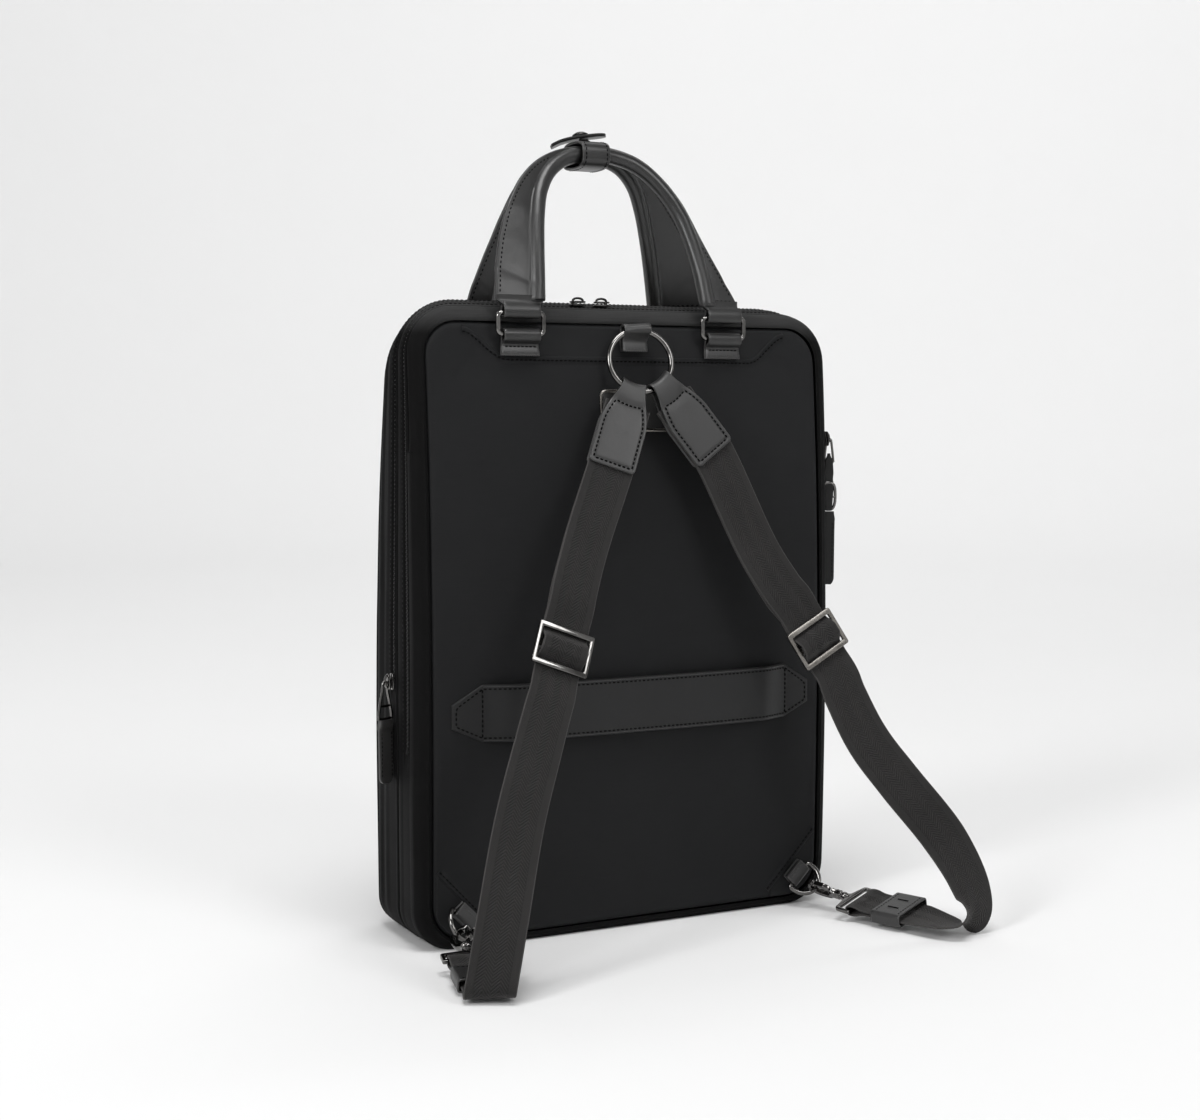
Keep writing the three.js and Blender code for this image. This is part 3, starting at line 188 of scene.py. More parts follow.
# ------------------------------------------------------------------ materials
class Mat:
    def __init__(self, name):
        self.m = bpy.data.materials.new(name)
        self.m.use_nodes = True
        self.t = self.m.node_tree
        self.t.nodes.clear()
        self.out = self.t.nodes.new("ShaderNodeOutputMaterial")
        self.b = self.t.nodes.new("ShaderNodeBsdfPrincipled")
        self.t.links.new(self.b.outputs[0], self.out.inputs[0])
        self._uv = self._ob = None

    def node(self, kind, **kw):
        n = self.t.nodes.new(kind)
        for k, v in kw.items():
            setattr(n, k, v)
        return n

    def link(self, a, b):
        self.t.links.new(a, b)

    def put(self, sock, v):
        if hasattr(v, "is_output") or isinstance(v, bpy.types.NodeSocket):
            self.link(v, sock)
        else:
            sock.default_value = v

    def math(self, op, a, b=None, c=None, clamp=False):
        n = self.node("ShaderNodeMath", operation=op, use_clamp=clamp)
        self.put(n.inputs[0], a)
        if b is not None:
            self.put(n.inputs[1], b)
        if c is not None:
            self.put(n.inputs[2], c)
        return n.outputs[0]

    def uv(self):
        if self._uv is None:
            n = self.node("ShaderNodeUVMap", uv_map="UVMap")
            s = self.node("ShaderNodeSeparateXYZ")
            self.link(n.outputs[0], s.inputs[0])
            self._uv = (n.outputs[0], s.outputs[0], s.outputs[1])
        return self._uv

    def obj(self):
        if self._ob is None:
            self._ob = self.node("ShaderNodeTexCoord").outputs["Object"]
        return self._ob

    def noise(self, vec, scale, detail=3.0, rough=0.55, distort=0.0):
        n = self.node("ShaderNodeTexNoise")
        self.link(vec, n.inputs["Vector"])
        n.inputs["Scale"].default_value = scale
        n.inputs["Detail"].default_value = detail
        n.inputs["Roughness"].default_value = rough
        n.inputs["Distortion"].default_value = distort
        return n.outputs[0]

    def voronoi(self, vec, scale, feature="DISTANCE_TO_EDGE"):
        n = self.node("ShaderNodeTexVoronoi", feature=feature)
        self.link(vec, n.inputs["Vector"])
        n.inputs["Scale"].default_value = scale
        return n.outputs[0]

    def stretch(self, vec, sx, sy, sz):
        n = self.node("ShaderNodeMapping")
        self.link(vec, n.inputs[0])
        n.inputs["Scale"].default_value = (sx, sy, sz)
        return n.outputs[0]

    def mix(self, fac, a, b):
        n = self.node("ShaderNodeMix", data_type="RGBA")
        self.put(n.inputs[0], fac)
        self.put(n.inputs[6], a)
        self.put(n.inputs[7], b)
        return n.outputs[2]

    def remap(self, v, a, b, c, d):
        n = self.node("ShaderNodeMapRange")
        self.put(n.inputs[0], v)
        for i, x in enumerate((a, b, c, d)):
            n.inputs[i + 1].default_value = x
        return n.outputs[0]

    def bump(self, height, strength, distance, under=None):
        n = self.node("ShaderNodeBump")
        n.inputs["Strength"].default_value = strength
        n.inputs["Distance"].default_value = distance
        self.link(height, n.inputs["Height"])
        if under is not None:
            self.link(under, n.inputs["Normal"])
        return n.outputs[0]

    def set(self, **kw):
        names = dict(color="Base Color", metal="Metallic", rough="Roughness", normal="Normal", spec="Specular IOR Level",
                     sheen="Sheen Weight", sheen_rough="Sheen Roughness", sheen_tint="Sheen Tint", coat="Coat Weight",
                     coat_rough="Coat Roughness", ior="IOR", aniso="Anisotropic", coat_ior="Coat IOR")
        for k, v in kw.items():
            self.put(self.b.inputs[names[k]], v)
        return self


def rgb(r, g=None, b=None):
    g = r if g is None else g
    b = r if b is None else b
    return (r, g, b, 1.0)


def nylon_material(name, tone, light, fine=1.0, top=None, spec=0.17, sheen=0.03):
    """Fine twill nylon: slanted ribs of thread, soft uneven dye, a dull sheen."""
    k = Mat(name)
    uv, u, v = k.uv()
    slant = k.math("ADD", u, k.math("MULTIPLY", v, 0.62))
    rib = k.math("SINE", k.math("MULTIPLY", slant, 6.2832 / (0.00085 * fine)))
    cross = k.math("SINE", k.math("MULTIPLY", v, 6.2832 / (0.00062 * fine)))
    weave = k.math("ADD", k.math("MULTIPLY", rib, 0.6), k.math("MULTIPLY", cross, 0.4))
    cloud = k.noise(k.obj(), 9.0, 3.0)
    slub = k.noise(k.stretch(uv, 60, 900, 1), 1.0, 3.0)
    grain = k.noise(k.obj(), 1400.0, 2.0)
    f = k.math("ADD", k.math("MULTIPLY", cloud, 0.45), k.math("MULTIPLY", slub, 0.35), clamp=False)
    f = k.math("ADD", f, k.math("MULTIPLY", k.remap(weave, -1, 1, 0, 1), 0.22), clamp=True)
    c = k.mix(f, rgb(*tone), rgb(*light))
    if top:
        # the cloth over the top of the bag is painted paler: a painted highlight where the overhead lamp falls on the
        # top
        sep = k.node("ShaderNodeSeparateXYZ")
        k.link(k.obj(), sep.inputs[0])
        c = k.mix(k.remap(sep.outputs[2], 0.384, 0.397, 0.0, 1.0), c, k.mix(f, rgb(top * 0.6), rgb(top * 1.8)))
    k.set(color=c)
    k.set(rough=k.remap(cloud, 0.3, 0.7, 0.60, 0.74))
    h = k.math("ADD", k.remap(weave, -1, 1, 0, 1), k.math("MULTIPLY", grain, 0.6))
    k.set(normal=k.bump(h, 0.35, 0.00022), spec=spec, sheen=sheen, sheen_rough=0.5, sheen_tint=(0.9, 0.95, 1.0, 1))
    return k.m


def leather_material(name, dark, light, rough=0.42, grain=900.0, coat=0.0, depth=0.00022, spec=0.5):
    """Dyed leather: pebbled grain, pores, slow tone changes and a soft polish."""
    k = Mat(name)
    o = k.obj()
    cells = k.voronoi(o, grain)
    pores = k.noise(o, grain * 1.7, 3.0, 0.6)
    cloud = k.noise(o, 14.0, 4.0)
    soft = k.noise(o, 70.0, 3.0)
    f = k.math("ADD", k.math("MULTIPLY", cloud, 0.6), k.math("MULTIPLY", pores, 0.4), clamp=True)
    k.set(color=k.mix(f, rgb(*dark), rgb(*light)))
    k.set(rough=k.math("ADD", k.remap(cloud, 0.3, 0.7, rough - 0.05, rough + 0.06), k.remap(pores, 0.3, 0.7, -0.05, 0.05)))
    fine = k.math("ADD", k.math("MINIMUM", k.math("MULTIPLY", cells, grain * 0.55), 1.0), k.math("MULTIPLY", pores, 0.7))
    n1 = k.bump(soft, 0.25, 0.0010)
    k.set(normal=k.bump(fine, 0.45, depth, n1), spec=spec, coat=coat, coat_rough=0.33)
    return k.m


def webbing_material(name, dark, light):
    """Herringbone webbing: two slanted columns in the middle, plain ribbed edges."""
    k = Mat(name)
    uv, u, v = k.uv()
    wide = k.math("ABSOLUTE", u)
    core = k.math("LESS_THAN", wide, 0.0098)
    lane = k.math("PINGPONG", k.math("ADD", u, 0.0098), 0.0049)
    warp = k.math("SINE", k.math("MULTIPLY", k.math("ADD", v, k.math("MULTIPLY", lane, 1.05)), 6.2832 / 0.0021))
    yarn = k.math("SINE", k.math("MULTIPLY", u, 6.2832 / 0.0011))
    weft = k.math("SINE", k.math("MULTIPLY", v, 6.2832 / 0.0012))
    edge_h = k.math("MULTIPLY", k.math("ADD", k.math("MULTIPLY", yarn, weft), 1.0), 0.5)
    core_h = k.math("ADD", k.remap(warp, -1, 1, 0, 0.85), k.math("MULTIPLY", k.remap(yarn, -1, 1, 0, 1), 0.15))
    h = k.math("ADD", k.math("MULTIPLY", core, core_h), k.math("MULTIPLY", k.math("SUBTRACT", 1.0, core), k.math("MULTIPLY_ADD", edge_h, 0.5, 0.42)))
    groove = k.math("MULTIPLY", k.math("LESS_THAN", k.math("ABSOLUTE", k.math("SUBTRACT", wide, 0.0098)), 0.00035), 0.35)
    h = k.math("SUBTRACT", h, groove)
    fuzz = k.noise(k.obj(), 1900.0, 2.0)
    cloud = k.noise(k.obj(), 22.0, 3.0)
    f = k.math("ADD", k.math("MULTIPLY", h, 0.55), k.math("MULTIPLY", fuzz, 0.35))
    f = k.math("ADD", f, k.math("MULTIPLY", k.math("SUBTRACT", cloud, 0.5), 0.35), clamp=True)
    k.set(color=k.mix(f, rgb(*dark), rgb(*light)), rough=k.remap(fuzz, 0.3, 0.7, 0.72, 0.88))
    hh = k.math("ADD", h, k.math("MULTIPLY", fuzz, 0.4))
    k.set(normal=k.bump(hh, 0.8, 0.00045), spec=0.22, sheen=0.10, sheen_rough=0.45, sheen_tint=(1.0, 0.97, 0.95, 1))
    return k.m


def metal_material(name, dark, light, rough, scratch=0.35):
    """Plated metal: fine rubbing marks and uneven polish, darker in places."""
    k = Mat(name)
    o = k.obj()
    cloud = k.noise(o, 60.0, 3.0)
    rub = k.noise(k.stretch(o, 260, 2600, 900), 1.0, 3.0, 0.7)
    pits = k.noise(o, 5200.0, 2.0)
    k.set(color=k.mix(k.remap(cloud, 0.3, 0.7, 0, 1), rgb(*dark), rgb(*light)), metal=1.0)
    k.set(rough=k.math("ADD", k.remap(cloud, 0.3, 0.7, rough * 0.75, rough * 1.2), k.math("MULTIPLY", k.math("SUBTRACT", rub, 0.5), 0.18)))
    k.set(normal=k.bump(k.math("ADD", rub, k.math("MULTIPLY", pits, 0.3)), 0.10 * scratch, 0.0001))
    return k.m


def thread_material(name, dark, light, rough=0.85, spec=0.06):
    """Waxed thread: two strands that turn about each other."""
    k = Mat(name)
    uv, u, v = k.uv()
    twist = k.math("SINE", k.math("MULTIPLY", k.math("ADD", v, k.math("MULTIPLY", u, 0.5)), 6.2832 / 0.0007))
    spot = k.noise(k.obj(), 700.0, 2.0)
    k.set(color=k.mix(spot, rgb(*dark), rgb(*light)), rough=rough, spec=spec)
    k.set(normal=k.bump(twist, 0.3, 0.0001))
    return k.m


def tape_material(name, dark, light):
    """Woven zip tape: narrow ribs along its length."""
    k = Mat(name)
    uv, u, v = k.uv()
    rib = k.math("SINE", k.math("MULTIPLY", u, 6.2832 / 0.0009))
    pick = k.math("SINE", k.math("MULTIPLY", v, 6.2832 / 0.0008))
    h = k.math("ADD", rib, k.math("MULTIPLY", pick, 0.6))
    spot = k.noise(k.obj(), 900.0, 2.0)
    k.set(color=k.mix(spot, rgb(*dark), rgb(*light)), rough=0.8, spec=0.25)
    k.set(normal=k.bump(h, 0.5, 0.0002))
    return k.m


def coil_material(name, dark, light):
    """Moulded nylon zip teeth with a slight polish."""
    k = Mat(name)
    spot = k.noise(k.obj(), 500.0, 2.0)
    k.set(color=k.mix(spot, rgb(*dark), rgb(*light)), rough=k.remap(spot, 0.3, 0.7, 0.34, 0.5), spec=0.5)
    k.set(normal=k.bump(spot, 0.2, 0.0001))
    return k.m


NYLON = nylon_material("nylon_twill", (0.0036, 0.0037, 0.0041), (0.0105, 0.0107, 0.0113))
# A darker copy of the nylon twill for the side walls: painted shade that keeps the lamp-lit walls as dark as the front,
# and its top band is painted lighter as a painted highlight
NYLON_SIDE_SHADED_LIT_TOP = nylon_material("nylon_twill_side_painted_shade_lit_top", (0.0015, 0.0015, 0.0016), (0.0044, 0.0043, 0.0043), top=0.026, spec=0.07, sheen=0.005)
TRIM = nylon_material("nylon_yoke", (0.0040, 0.0041, 0.0045), (0.0115, 0.0117, 0.0122))
BAND_HIDE = leather_material("leather_band", (0.0040, 0.0040, 0.0042), (0.0105, 0.0105, 0.0108), rough=0.50, grain=1300.0, depth=0.00016, spec=0.34)
HIDE = leather_material("leather_fine", (0.010, 0.0098, 0.0098), (0.022, 0.0216, 0.0214), rough=0.42, grain=1200.0, depth=0.00018, spec=0.6)
SMOOTH_DARK = leather_material("leather_smooth_cut", (0.0030, 0.0030, 0.0030), (0.0080, 0.0079, 0.0078), rough=0.5, grain=800.0, depth=0.00010, spec=0.3)
# A paler copy of the fine leather for the left pull: painted light, since the bag shades the pull from the lamps
PULL_HIDE_PAINTED_LIGHT = leather_material("leather_pull_painted_light", (0.030, 0.0295, 0.029), (0.055, 0.054, 0.053), rough=0.42, grain=1200.0, depth=0.00018, spec=0.6)
SMOOTH = leather_material("leather_smooth", (0.0040, 0.0039, 0.0039), (0.0095, 0.0093, 0.0092), rough=0.36, grain=1500.0, coat=0.16, depth=0.00012, spec=0.55)
EDGE = leather_material("leather_edge_paint", (0.016, 0.0158, 0.0155), (0.034, 0.0335, 0.033), rough=0.32, grain=500.0, depth=0.00010, spec=0.7)
WEB = webbing_material("webbing_herringbone", (0.0035, 0.0034, 0.0034), (0.030, 0.0285, 0.0280))
WEB_EDGE = webbing_material("webbing_edge", (0.016, 0.0155, 0.0152), (0.060, 0.0575, 0.0565))
GUN = metal_material("gunmetal_polished", (0.085, 0.082, 0.080), (0.24, 0.235, 0.228), 0.10)
SATIN = metal_material("gunmetal_satin", (0.16, 0.150, 0.138), (0.27, 0.257, 0.238), 0.27, 0.7)
DARKMETAL = metal_material("black_nickel", (0.030, 0.029, 0.029), (0.085, 0.083, 0.081), 0.20)
THREAD = thread_material("thread_black", (0.0008, 0.0008, 0.0008), (0.0030, 0.0030, 0.0030))
THREAD_GREY = thread_material("thread_grey", (0.030, 0.030, 0.030), (0.075, 0.074, 0.073), 0.6, 0.3)
TAPE = tape_material("zip_tape", (0.0020, 0.0020, 0.0023), (0.0075, 0.0075, 0.0080))
COIL = coil_material("zip_teeth", (0.0020, 0.0020, 0.0023), (0.0085, 0.0085, 0.0090))


# ------------------------------------------------------------------ mesh tools
class Soup:
    """Grids of points in millimetres that become one mesh in metres."""

    def __init__(self):
        self.v, self.q, self.uvs, self.mi, self.n = [], [], [], [], 0

    def grid(self, P, wrap_u=False, wrap_v=False, uv=None, mat=0, flip=False):
        P = np.asarray(P, float)
        m, n, _ = P.shape
        if uv is None:
            du = np.linalg.norm(np.diff(P, axis=1, append=P[:, :1]), axis=2).mean(0)
            dv = np.linalg.norm(np.diff(P, axis=0, append=P[:1]), axis=2).mean(1)
            U = np.concatenate([[0], np.cumsum(du)])
            W = np.concatenate([[0], np.cumsum(dv)])
        else:
            U, W = np.asarray(uv[0], float), np.asarray(uv[1], float)
        i = np.arange(m if wrap_v else m - 1)[:, None]
        j = np.arange(n if wrap_u else n - 1)[None, :]
        i1, j1 = (i + 1) % m, (j + 1) % n
        b = self.n
        q = np.stack([b + i * n + j, b + i * n + j1, b + i1 * n + j1, b + i1 * n + j], -1).reshape(-1, 4)
        z = np.zeros_like(i + j)
        if U.ndim == 1:
            uu = np.stack([U[j + z], U[j + 1 + z], U[j + 1 + z], U[j + z]], -1)
            vv = np.stack([W[i + z], W[i + z], W[i + 1 + z], W[i + 1 + z]], -1)
        else:
            uu = np.stack([U[i, j], U[i, j + 1 if U.shape[1] > n else j1], U[i + 1 if U.shape[0] > m else i1, j + 1 if U.shape[1] > n else j1], U[i + 1 if U.shape[0] > m else i1, j]], -1)
            vv = np.stack([W[i, j], W[i, j + 1 if W.shape[1] > n else j1], W[i + 1 if W.shape[0] > m else i1, j + 1 if W.shape[1] > n else j1], W[i + 1 if W.shape[0] > m else i1, j]], -1)
        t = np.stack([uu, vv], -1).reshape(-1, 4, 2)
        if flip:
            q, t = q[:, ::-1], t[:, ::-1]
        self.v.append(P.reshape(-1, 3))
        self.q.append(q)
        self.uvs.append(t)
        self.mi.append(np.broadcast_to(np.asarray(mat), z.shape).reshape(-1))
        self.n += m * n
        return self

    def fan(self, loop, mat=0, centre=None):
        """Closes a planar loop with quads that meet at its centre."""
        loop = np.asarray(loop, float)
        c = loop.mean(0) if centre is None else np.asarray(centre, float)
        rows = np.stack([loop, c + (loop - c) * 0.5, c + (loop - c) * 0.0005])
        self.grid(rows, wrap_u=True, mat=mat)
        return self

    def make(self, name, mats, body=BAG, replaces=(), slot=None, smooth=38.0, weld=0.000012, recalc=True):
        v = np.concatenate(self.v) * MM
        q = np.concatenate(self.q)
        uv = np.concatenate(self.uvs) * MM
        mi = np.concatenate(self.mi)
        me = bpy.data.meshes.new(name)
        me.vertices.add(len(v))
        me.vertices.foreach_set("co", v.astype(np.float32).ravel())
        me.loops.add(q.size)
        me.loops.foreach_set("vertex_index", q.astype(np.int32).ravel())
        me.polygons.add(len(q))
        me.polygons.foreach_set("loop_start", np.arange(0, q.size, 4, dtype=np.int32))
        me.polygons.foreach_set("material_index", mi.astype(np.int32))
        me.update(calc_edges=True)
        lay = me.uv_layers.new(name="UVMap")
        lay.data.foreach_set("uv", uv.astype(np.float32).ravel())
        return finish_mesh(name, me, mats, body, replaces, smooth, weld, recalc)


def finish_mesh(name, me, mats, body, replaces, smooth, weld=0.000012, recalc=True):
    bm = bmesh.new()
    bm.from_mesh(me)
    if weld:
        bmesh.ops.remove_doubles(bm, verts=bm.verts, dist=weld)
        bmesh.ops.dissolve_degenerate(bm, edges=bm.edges, dist=1e-7)
    if recalc:
        bmesh.ops.recalc_face_normals(bm, faces=bm.faces)
    bm.to_mesh(me)
    bm.free()
    for m in (mats if isinstance(mats, (list, tuple)) else [mats]):
        me.materials.append(m)
    me.polygons.foreach_set("use_smooth", np.ones(len(me.polygons), dtype=bool))
    me.set_sharp_from_angle(angle=math.radians(smooth))
    me.validate()
    o = bpy.data.objects.new(name, me)
    bpy.context.scene.collection.objects.link(o)
    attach(o, body)
    if replaces:
        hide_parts(*([replaces] if isinstance(replaces, str) else replaces))
    return o


def place(at, x, y, z):
    m = np.eye(4)
    m[:3, 0], m[:3, 1], m[:3, 2], m[:3, 3] = x, y, z, at
    return m


def axes(forward, side):
    x = unit(forward)
    y = unit(side - x * np.dot(side, x))
    return x, y, np.cross(x, y)


def move(P, m):
    P = np.asarray(P, float)
    return P @ m[:3, :3].T + m[:3, 3]


def frames_along(P, up=None, closed=False):
    """Tangent, side and up at each point, with the least turning."""
    P = np.asarray(P, float)
    if closed:
        t = unit(np.roll(P, -1, 0) - np.roll(P, 1, 0))
    else:
        t = unit(np.gradient(P, axis=0))
    if up is None:
        up = V(0, 0, 1) if abs(t[0][2]) < 0.9 else V(0, 1, 0)
    ups = []
    u = np.asarray(up, float)
    for i in range(len(P)):
        u = unit(u - t[i] * np.dot(u, t[i]))
        ups.append(u)
    ups = np.array(ups)
    return t, ups, np.cross(t, ups)


def tube_rows(P, radius, sides=16, closed=False, up=None, flat=1.0, keep_up=False):
    P = np.asarray(P, float)
    if keep_up and closed:
        t = unit(np.roll(P, -1, 0) - np.roll(P, 1, 0))
        s = unit(np.asarray(up, float) - t * (t @ np.asarray(up, float))[:, None])
        w = np.cross(t, s)
    else:
        t, s, w = frames_along(P, up, closed)
    a = np.linspace(0, 2 * math.pi, sides, endpoint=False)
    r = np.broadcast_to(np.asarray(radius, float), (len(P),))[:, None, None]
    return P[:, None] + r * (s[:, None] * np.cos(a)[None, :, None] * flat + w[:, None] * np.sin(a)[None, :, None])


def resample(P, step=None, n=None, closed=False):
    P = np.asarray(P, float)
    if closed:
        P = np.concatenate([P, P[:1]])
    d = np.concatenate([[0], np.cumsum(np.linalg.norm(np.diff(P, axis=0), axis=1))])
    if n is None:
        n = max(2, int(round(d[-1] / step)) + 1)
    s = np.linspace(0, d[-1], n)
    out = np.stack([np.interp(s, d, P[:, k]) for k in range(3)], -1)
    return out[:-1] if closed else out


def round_corners(pts, r, seg=5):
    """Rounds the corners of a closed 2-D outline."""
    pts = [np.array(p, float) for p in pts]
    n, out = len(pts), []
    for i in range(n):
        p, a, b = pts[i], pts[i - 1], pts[(i + 1) % n]
        da, db = np.linalg.norm(a - p), np.linalg.norm(b - p)
        rr = r[i] if isinstance(r, (list, tuple)) else r
        t = min(rr, da * 0.48, db * 0.48)
        if t < 0.05:
            out.append(p)
            continue
        s, e = p + (a - p) / da * t, p + (b - p) / db * t
        for k in range(seg + 1):
            f = k / seg
            out.append(s * (1 - f) ** 2 + 2 * p * f * (1 - f) + e * f * f)
    return out


def plate(name, outline2, thick, matrix, mats, holes=(), bevel=0.4, res=3, body=BAG, replaces=(), smooth=38.0, join_to=None):
    """A flat outline with rounded edges, laid by a matrix."""
    cu = bpy.data.curves.new(name + "_c", "CURVE")
    cu.dimensions = "2D"
    cu.fill_mode = "BOTH"
    cu.extrude = max(0.0, thick / 2 - bevel) * MM
    cu.bevel_depth = bevel * MM
    cu.bevel_resolution = res
    cu.offset = -bevel * MM
    for ring in [outline2, *holes]:
        sp = cu.splines.new("POLY")
        sp.points.add(len(ring) - 1)
        for k, p in enumerate(ring):
            sp.points[k].co = (p[0] * MM, p[1] * MM, 0, 1)
        sp.use_cyclic_u = True
    ob = bpy.data.objects.new(name + "_c", cu)
    bpy.context.scene.collection.objects.link(ob)
    dg = bpy.context.evaluated_depsgraph_get()
    me = bpy.data.meshes.new_from_object(ob.evaluated_get(dg))
    bpy.data.objects.remove(ob)
    bpy.data.curves.remove(cu)
    m = matrix.copy()
    m[:3, 3] *= MM
    me.transform(Matrix(m.tolist()))
    me.name = name
    while me.uv_layers:
        me.uv_layers.remove(me.uv_layers[0])
    lay = me.uv_layers.new(name="UVMap")
    co = np.zeros(len(me.vertices) * 3, np.float32)
    me.vertices.foreach_get("co", co)
    co = co.reshape(-1, 3)
    li = np.zeros(len(me.loops), np.int32)
    me.loops.foreach_get("vertex_index", li)
    local = (co - m[:3, 3]) @ m[:3, :3]
    lay.data.foreach_set("uv", local[li][:, :2].astype(np.float32).ravel())
    return finish_mesh(name, me, mats, body, replaces, smooth)


def merge(name, objects, replaces=(), body=BAG):
    """Joins made pieces into one mesh."""
    bm = bmesh.new()
    mats = []
    for o in objects:
        me = o.data
        table = []
        for m in me.materials:
            if m not in mats:
                mats.append(m)
            table.append(mats.index(m))
        for p in me.polygons:
            p.material_index = table[p.material_index]
        bm.from_mesh(me)
    out = bpy.data.meshes.new(name)
    bm.to_mesh(out)
    bm.free()
    for m in mats:
        out.materials.append(m)
    for o in objects:
        me = o.data
        bpy.data.objects.remove(o)
        bpy.data.meshes.remove(me)
    ob = bpy.data.objects.new(name, out)
    bpy.context.scene.collection.objects.link(ob)
    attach(ob, body)
    if replaces:
        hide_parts(*([replaces] if isinstance(replaces, str) else replaces))
    return ob


# Stitches: short round-ended threads laid along a line.
_RING = np.array([[-1, 0.02], [-0.94, 0.5], [-0.75, 0.86], [-0.3, 1], [0.3, 1], [0.75, 0.86], [0.94, 0.5], [1, 0.02]])


def stitch_into(soup, path, normal, pitch=3.1, length=2.35, radius=0.36, sink=0.10, sides=6, tilt=0.0):
    P = np.asarray(path, float)
    N = np.broadcast_to(np.asarray(normal, float), P.shape)
    d = np.concatenate([[0], np.cumsum(np.linalg.norm(np.diff(P, axis=0), axis=1))])
    count = max(1, int(round(d[-1] / pitch)))
    mids = (np.arange(count) + 0.5) * d[-1] / count
    a = np.linspace(0, 2 * math.pi, sides, endpoint=False)
    for m in mids:
        lo, hi = max(0, m - length / 2), min(d[-1], m + length / 2)
        p0 = V(*[np.interp(lo, d, P[:, k]) for k in range(3)])
        p1 = V(*[np.interp(hi, d, P[:, k]) for k in range(3)])
        n = unit(V(*[np.interp(m, d, N[:, k]) for k in range(3)]))
        t = unit(p1 - p0)
        w = np.cross(t, n)
        if tilt:
            t = unit(t + w * tilt)
            w = np.cross(t, n)
        c = (p0 + p1) / 2 + n * (radius - sink - radius * 0.35)
        half = length / 2
        x = _RING[:, 0] * half
        r = _RING[:, 1] * radius
        drop = -(np.abs(_RING[:, 0]) ** 3) * (sink + radius * 0.55)
        rows = c + t * x[:, None] + n * drop[:, None]
        G = rows[:, None] + r[:, None, None] * (n * np.cos(a)[:, None] * 0.8 + w * np.sin(a)[:, None])[None]
        soup.grid(G, wrap_u=True)


def catmull(P, us):
    """Centripetal curve through points, at even steps of its own parameter."""
    P = np.asarray(P, float)
    n = len(P)
    out = np.zeros((len(us), P.shape[1]))
    for k, t in enumerate(us):
        p = (n - 1) * t
        i = int(math.floor(p))
        w = p - i
        if i >= n - 1:
            i, w = n - 2, 1.0
        p1, p2 = P[i], P[i + 1]
        p0 = P[i - 1] if i > 0 else 2 * P[0] - P[1]
        p3 = P[i + 2] if i + 2 < n else 2 * P[-1] - P[-2]
        d0 = max(1e-4, ((p0 - p1)[:3] @ (p0 - p1)[:3]) ** 0.25)
        d1 = max(1e-4, ((p1 - p2)[:3] @ (p1 - p2)[:3]) ** 0.25)
        d2 = max(1e-4, ((p2 - p3)[:3] @ (p2 - p3)[:3]) ** 0.25)
        t1 = ((p1 - p0) / d0 - (p2 - p0) / (d0 + d1) + (p2 - p1) / d1) * d1
        t2 = ((p2 - p1) / d1 - (p3 - p1) / (d1 + d2) + (p3 - p2) / d2) * d1
        out[k] = p1 + t1 * w + (-3 * p1 + 3 * p2 - 2 * t1 - t2) * w * w + (2 * p1 - 2 * p2 + t1 + t2) * w ** 3
    return out


# ------------------------------------------------------------------ camera and stage
AZ, PITCH = math.radians(-27.611), math.radians(4.268)
cam_data = bpy.data.cameras.new("camera")
cam_data.sensor_width = 36.0
cam_data.lens = 1913.57 / 1200 * 36.0
cam_data.clip_start, cam_data.clip_end = 0.05, 60
cam = bpy.data.objects.new("camera", cam_data)
bpy.context.scene.collection.objects.link(cam)
cam.location = (-0.59131, -1.12808, 0.33275)
back = Vector((math.sin(AZ) * math.cos(PITCH), -math.cos(AZ) * math.cos(PITCH), math.sin(PITCH)))
cam.rotation_mode = "QUATERNION"
cam.rotation_quaternion = (-back).to_track_quat("-Z", "Y")
bpy.context.scene.camera = cam


FLOOR_TONE, WALL_TONE, WORLD = 0.79, 0.875, 0.25


